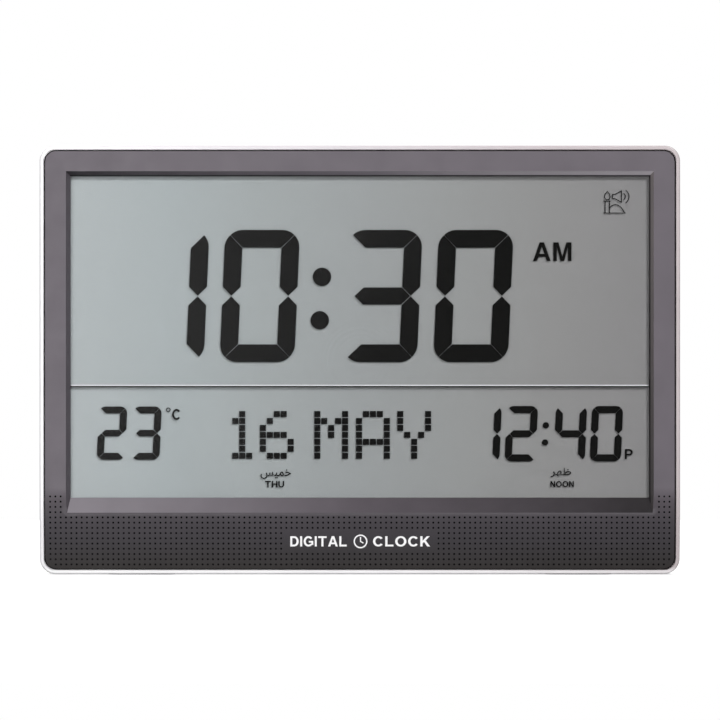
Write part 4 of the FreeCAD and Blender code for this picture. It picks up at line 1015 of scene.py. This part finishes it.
def pearl_paint(net):
    """Pearl silver, brighter towards the left and along the foot, where the light grazes it."""
    low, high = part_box("side_frame")
    across = net.along("X", low.x, high.x)
    upper = net.ramp(across, [(0.0, rgb("f0eef1")), (0.25, rgb("ddd9dd")), (0.5, rgb("cdc7cb")),
                              (0.8, rgb("bfb5b8")), (1.0, rgb("bbb1b3"))])
    foot = net.ramp(across, [(0.0, rgb("fcfbfc")), (0.5, rgb("f6f4f6")), (1.0, rgb("e4dfe1"))])
    return net.mix(net.along("Z", 2.2 * MM, 5.0 * MM), foot, upper)


def metal(name, colour, low, high, stretch=(1.0, 1.0, 1.0)):
    """Bare metal with a fine grain."""
    fine = 900.0
    net = Net(name)
    net.base(net.mottled(colour, fine * 0.4, 0.82, 3.0, stretch))
    net.rough(low, high, fine, stretch)
    net.bump(net.noise(fine * 2, 3.0, stretch), 0.01 * MM, 0.35)
    net.set(Metallic=1.0)
    return net.look


def board_look():
    """Solder mask with lighter tracks under it and tinned pads."""
    net = Net("solder_mask")
    gaps = net.cells(260.0, "CHEBYCHEV", "DISTANCE_TO_EDGE")
    track = net.ramp(gaps, [(0.0, grey(1)), (0.05, grey(1)), (0.09, grey(0))])
    mask = net.mix(track, rgb("0c4a26"), rgb("1c6d3d"))
    pad = net.ramp(net.cells(420.0), [(0.0, grey(1)), (0.13, grey(1)), (0.16, grey(0))])
    net.base(net.mottled(net.mix(pad, mask, rgb("b9b6aa")), 60.0, 0.85))
    net.rough(0.25, 0.4, 200.0)
    net.bump(track, 0.03 * MM, 0.6)
    return net.look


def rubber_look(name, code):
    """Matt rubber with a coarse grain."""
    net = Net(name)
    net.base(net.mottled(rgb(code), 90.0, 0.8))
    net.rough(0.72, 0.9, 300.0)
    net.bump(net.noise(1400.0, 4.0), 0.05 * MM, 0.6)
    net.set(Specular_IOR_Level=0.25)
    return net.look


def foam_look():
    """Closed-cell foam."""
    net = Net("closed_cell_foam")
    cells = net.cells(2200.0)
    net.base(net.ramp(cells, [(0.0, rgb("0b0b0b")), (0.5, rgb("1c1c1c")), (1.0, rgb("2a2a2a"))]))
    net.rough(0.85, 0.98, 400.0)
    net.bump(cells, 0.15 * MM, 0.8)
    net.set(Specular_IOR_Level=0.15)
    return net.look


def cloth_look():
    """Woven dust cloth."""
    net = Net("dust_cloth")
    across, up = net.bands(620.0, "X"), net.bands(620.0, "Z")
    weave = net.mix(0.5, across, up)
    net.base(net.ramp(weave, [(0.2, rgb("020202")), (0.8, rgb("101010"))]))
    net.rough(0.8, 0.95, 700.0)
    net.bump(weave, 0.08 * MM, 0.8)
    return net.look


def elastomer_look():
    """Zebra strip: carbon layers between silicone."""
    net = Net("zebra_elastomer")
    net.base(net.ramp(net.bands(900.0, "X"), [(0.35, rgb("8d5a55")), (0.55, rgb("2a2222"))]))
    net.rough(0.6, 0.75, 500.0)
    return net.look


def ribbon_look():
    """Flat cable: white film over a row of conductors."""
    net = Net("flat_cable")
    lines = net.bands(400.0, "X")
    net.base(net.mottled(net.ramp(lines, [(0.3, rgb("dcdbd3")), (0.7, rgb("b7b6ae"))]), 200.0, 0.92))
    net.rough(0.35, 0.5, 300.0)
    net.bump(lines, 0.05 * MM, 0.5)
    return net.look


def wire_look():
    """Red wire insulation."""
    net = Net("wire_insulation")
    net.base(net.mottled(rgb("8c1512"), 300.0, 0.8))
    net.rough(0.35, 0.5, 600.0)
    net.bump(net.noise(1500.0, 3.0), 0.02 * MM, 0.4)
    return net.look


def paper_look():
    """Pressed paper fibre of the loudspeaker's cone."""
    net = Net("cone_paper_fibre")
    fibre = net.noise(900.0, 5.0, (1.0, 1.0, 3.0))
    net.base(net.ramp(fibre, [(0.3, rgb("141414")), (0.7, rgb("2c2b29"))]))
    net.rough(0.75, 0.9, 500.0)
    net.bump(fibre, 0.1 * MM, 0.7)
    return net.look


def cell_look(node):
    """Plain wrapped cell: slate sleeve with a pale band at its plus end and bare steel ends."""
    low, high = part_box(node)
    nub_left = low.x < NUB_X
    net = Net("sleeve_" + node)
    place = net.along("X", low.x, high.x) if nub_left else net.along("X", high.x, low.x)
    sleeve = [(0.0, rgb("b9b6b0")), (0.035, rgb("9a9da1")), (0.12, rgb("2a3a44")), (0.985, rgb("b9b6b0"))]
    net.base(net.mottled(net.ramp(place, sleeve, hard=True), 400.0, 0.9))
    metal_part = net.ramp(place, [(0.0, grey(1)), (0.035, grey(0)), (0.985, grey(1))], hard=True)
    net.feed(net.shader.inputs["Metallic"], metal_part)
    net.rough(0.25, 0.36, 500.0)
    net.bump(net.noise(700.0, 2.0), 0.01 * MM, 0.3)
    return net.look


def dress_case():
    """Materials of the case, the keys and the stand."""
    frame_look = moulded("pearl_silver", None, 0.34, 0.5, 5200.0, 0.008 * MM, 0.95, pearl_paint)
    dress("side_frame", frame_look)
    black = moulded("textured_black", rgb("211f22"), 0.6, 0.35, 1900.0, 0.06 * MM, 0.82)
    for name in ("rear_cover", "battery_door", "stand_leg"):
        dress(name, black)
    inner = moulded("inner_black", rgb("1a1a1b"), 0.5, 0.35, 2600.0, 0.03 * MM, 0.85)
    for name in ("lcd_carrier", "battery_box"):
        dress(name, inner)
    dress("rubber_feet", rubber_look("grey_rubber", "a9a6a9"))
    dress("stand_leg_pads", rubber_look("matt_rubber", "151515"))
    keys = moulded("key_grey", rgb("6b6a70"), 0.5, 0.35, 2200.0, 0.04 * MM, 0.88)
    for name in ("mode_button", "up_button", "down_button", "alarm_button", "zone_button", "reset_button",
                 "alarm_switch_knob"):
        dress(name, keys)


def dress_insides():
    """Materials of everything inside the case."""
    foam = foam_look()
    dress("foam_gasket", foam)
    dress("speaker_gasket", foam)
    strip = elastomer_look()
    dress("time_lcd_zebra_strip", strip)
    dress("calendar_lcd_zebra_strip", strip)
    board = board_look()
    for name in ("main_board", "display_board", "key_board"):
        dress(name, board)
    chip = moulded("chip_epoxy", rgb("1b1b1c"), 0.55, 0.35, 3200.0, 0.02 * MM, 0.85)
    for name in ("clock_chip", "sound_chip", "driver_chip", "temperature_sensor", "key_switches"):
        dress(name, chip)
    dress("board_headers", moulded("header_nylon", rgb("ded9c8"), 0.45, 0.4, 2400.0, 0.02 * MM, 0.9))
    tin = metal("tinned_steel", rgb("c9c8c4"), 0.22, 0.36)
    for name in ("capacitors", "quartz_crystal", "alarm_switch_can", "battery_contacts", "battery_springs"):
        dress(name, tin)
    dress("stand_pin", metal("drawn_steel", rgb("b5b4b2"), 0.2, 0.34, (0.2, 1.0, 1.0)))
    dress("speaker_basket", metal("zinc_pressing", rgb("a9a8a2"), 0.32, 0.46))
    dress("speaker_magnet", metal("sintered_ferrite", rgb("3a3a3c"), 0.5, 0.7))
    dress("speaker_cone", paper_look())
    dress("speaker_dust_mesh", cloth_look())
    ribbon = ribbon_look()
    for name in ("display_ribbon", "key_board_lead"):
        dress(name, ribbon)
    wire = wire_look()
    for name in ("speaker_lead", "battery_lead"):
        dress(name, wire)
    zinc = metal("zinc_plate", rgb("c6c2b4"), 0.24, 0.4)
    for name in ("speaker_screws", "case_screws", "tray_screws", "small_screws"):
        dress(name, zinc)
    for i in range(1, 5):
        dress("battery_cell_%d" % i, cell_look("battery_cell_%d" % i))


# ---------------------------------------------------------------- studio
FLOOR_HALF = 1.6
CAMERA_LENS = 400.0
CAMERA_GAP = 4.7457
CAMERA_HEIGHT = 0.1275


def build_floor():
    """White floor that doesn't light the clock."""
    bm = bmesh.new()
    bmesh.ops.create_grid(bm, x_segments=8, y_segments=8, size=FLOOR_HALF)
    mesh = bpy.data.meshes.new("floor")
    bm.to_mesh(mesh)
    bm.free()
    net = Net("studio_white")
    net.base(net.mottled(rgb("fbfbfb"), 3.0, 0.99))
    net.rough(0.8, 0.9, 5.0)
    net.set(Specular_IOR_Level=0.1, Emission_Color=(1.0, 1.0, 1.0, 1.0), Emission_Strength=0.5)
    mesh.materials.append(net.look)
    floor = bpy.data.objects.new("floor", mesh)
    bpy.context.scene.collection.objects.link(floor)
    floor.visible_diffuse = False
    floor.visible_glossy = False


def build_world():
    """Soft white room: the camera sees plain white, and the room's light is dimmer."""
    world = bpy.data.worlds.new("room")
    bpy.context.scene.world = world
    world.use_nodes = True
    nodes = world.node_tree.nodes
    links = world.node_tree.links
    nodes["Background"].inputs["Color"].default_value = (1.0, 1.0, 1.0, 1.0)
    nodes["Background"].inputs["Strength"].default_value = 0.15
    white = nodes.new("ShaderNodeBackground")
    white.inputs["Color"].default_value = (1.0, 1.0, 1.0, 1.0)
    white.inputs["Strength"].default_value = 1.0
    ray = nodes.new("ShaderNodeLightPath")
    mix = nodes.new("ShaderNodeMixShader")
    links.new(ray.outputs["Is Camera Ray"], mix.inputs[0])
    links.new(nodes["Background"].outputs[0], mix.inputs[1])
    links.new(white.outputs[0], mix.inputs[2])
    links.new(mix.outputs[0], nodes["World Output"].inputs["Surface"])


def area_light(name, place, size, power, target=(0.0, 0.0, 0.127)):
    """Round soft light aimed at a point."""
    data = bpy.data.lights.new(name, "AREA")
    data.shape = "DISK"
    data.size = size
    data.energy = power
    light = bpy.data.objects.new(name, data)
    light.location = place
    aim = Vector(target) - Vector(place)
    light.rotation_euler = aim.to_track_quat("-Z", "Y").to_euler()
    light.visible_camera = False
    bpy.context.scene.collection.objects.link(light)


def build_camera():
    """Long lens straight in front of the display."""
    data = bpy.data.cameras.new("camera")
    data.lens = CAMERA_LENS
    data.sensor_width = 36.0
    camera = bpy.data.objects.new("camera", data)
    camera.location = (0.0001, FRONT - CAMERA_GAP, CAMERA_HEIGHT)
    camera.rotation_euler = (pi / 2, 0, 0)
    bpy.context.scene.collection.objects.link(camera)
    bpy.context.scene.camera = camera


def build_studio():
    """Floor, room, lights and camera."""
    build_floor()
    build_world()
    area_light("key_light", (0.9, -2.0, 1.35), 0.6, 43.0)
    area_light("fill_light", (-0.5, -3.0, 0.45), 1.2, 24.0)
    area_light("low_light", (-0.45, -1.1, 0.02), 0.8, 5.6, (0.0, 0.0, 0.02))
    area_light("top_light", (-0.3, 0.5, 1.9), 1.2, 15.0)
    area_light("rear_light", (-1.1, 1.9, 1.0), 1.2, 15.0)
    build_camera()
    bpy.context.scene.view_settings.view_transform = "Standard"


build_bezel()
build_display()
draw_chin_mark()
PALE = pale_print()
draw_key_signs(PALE)
draw_door_marks(PALE)
dress_case()
dress_insides()
build_studio()
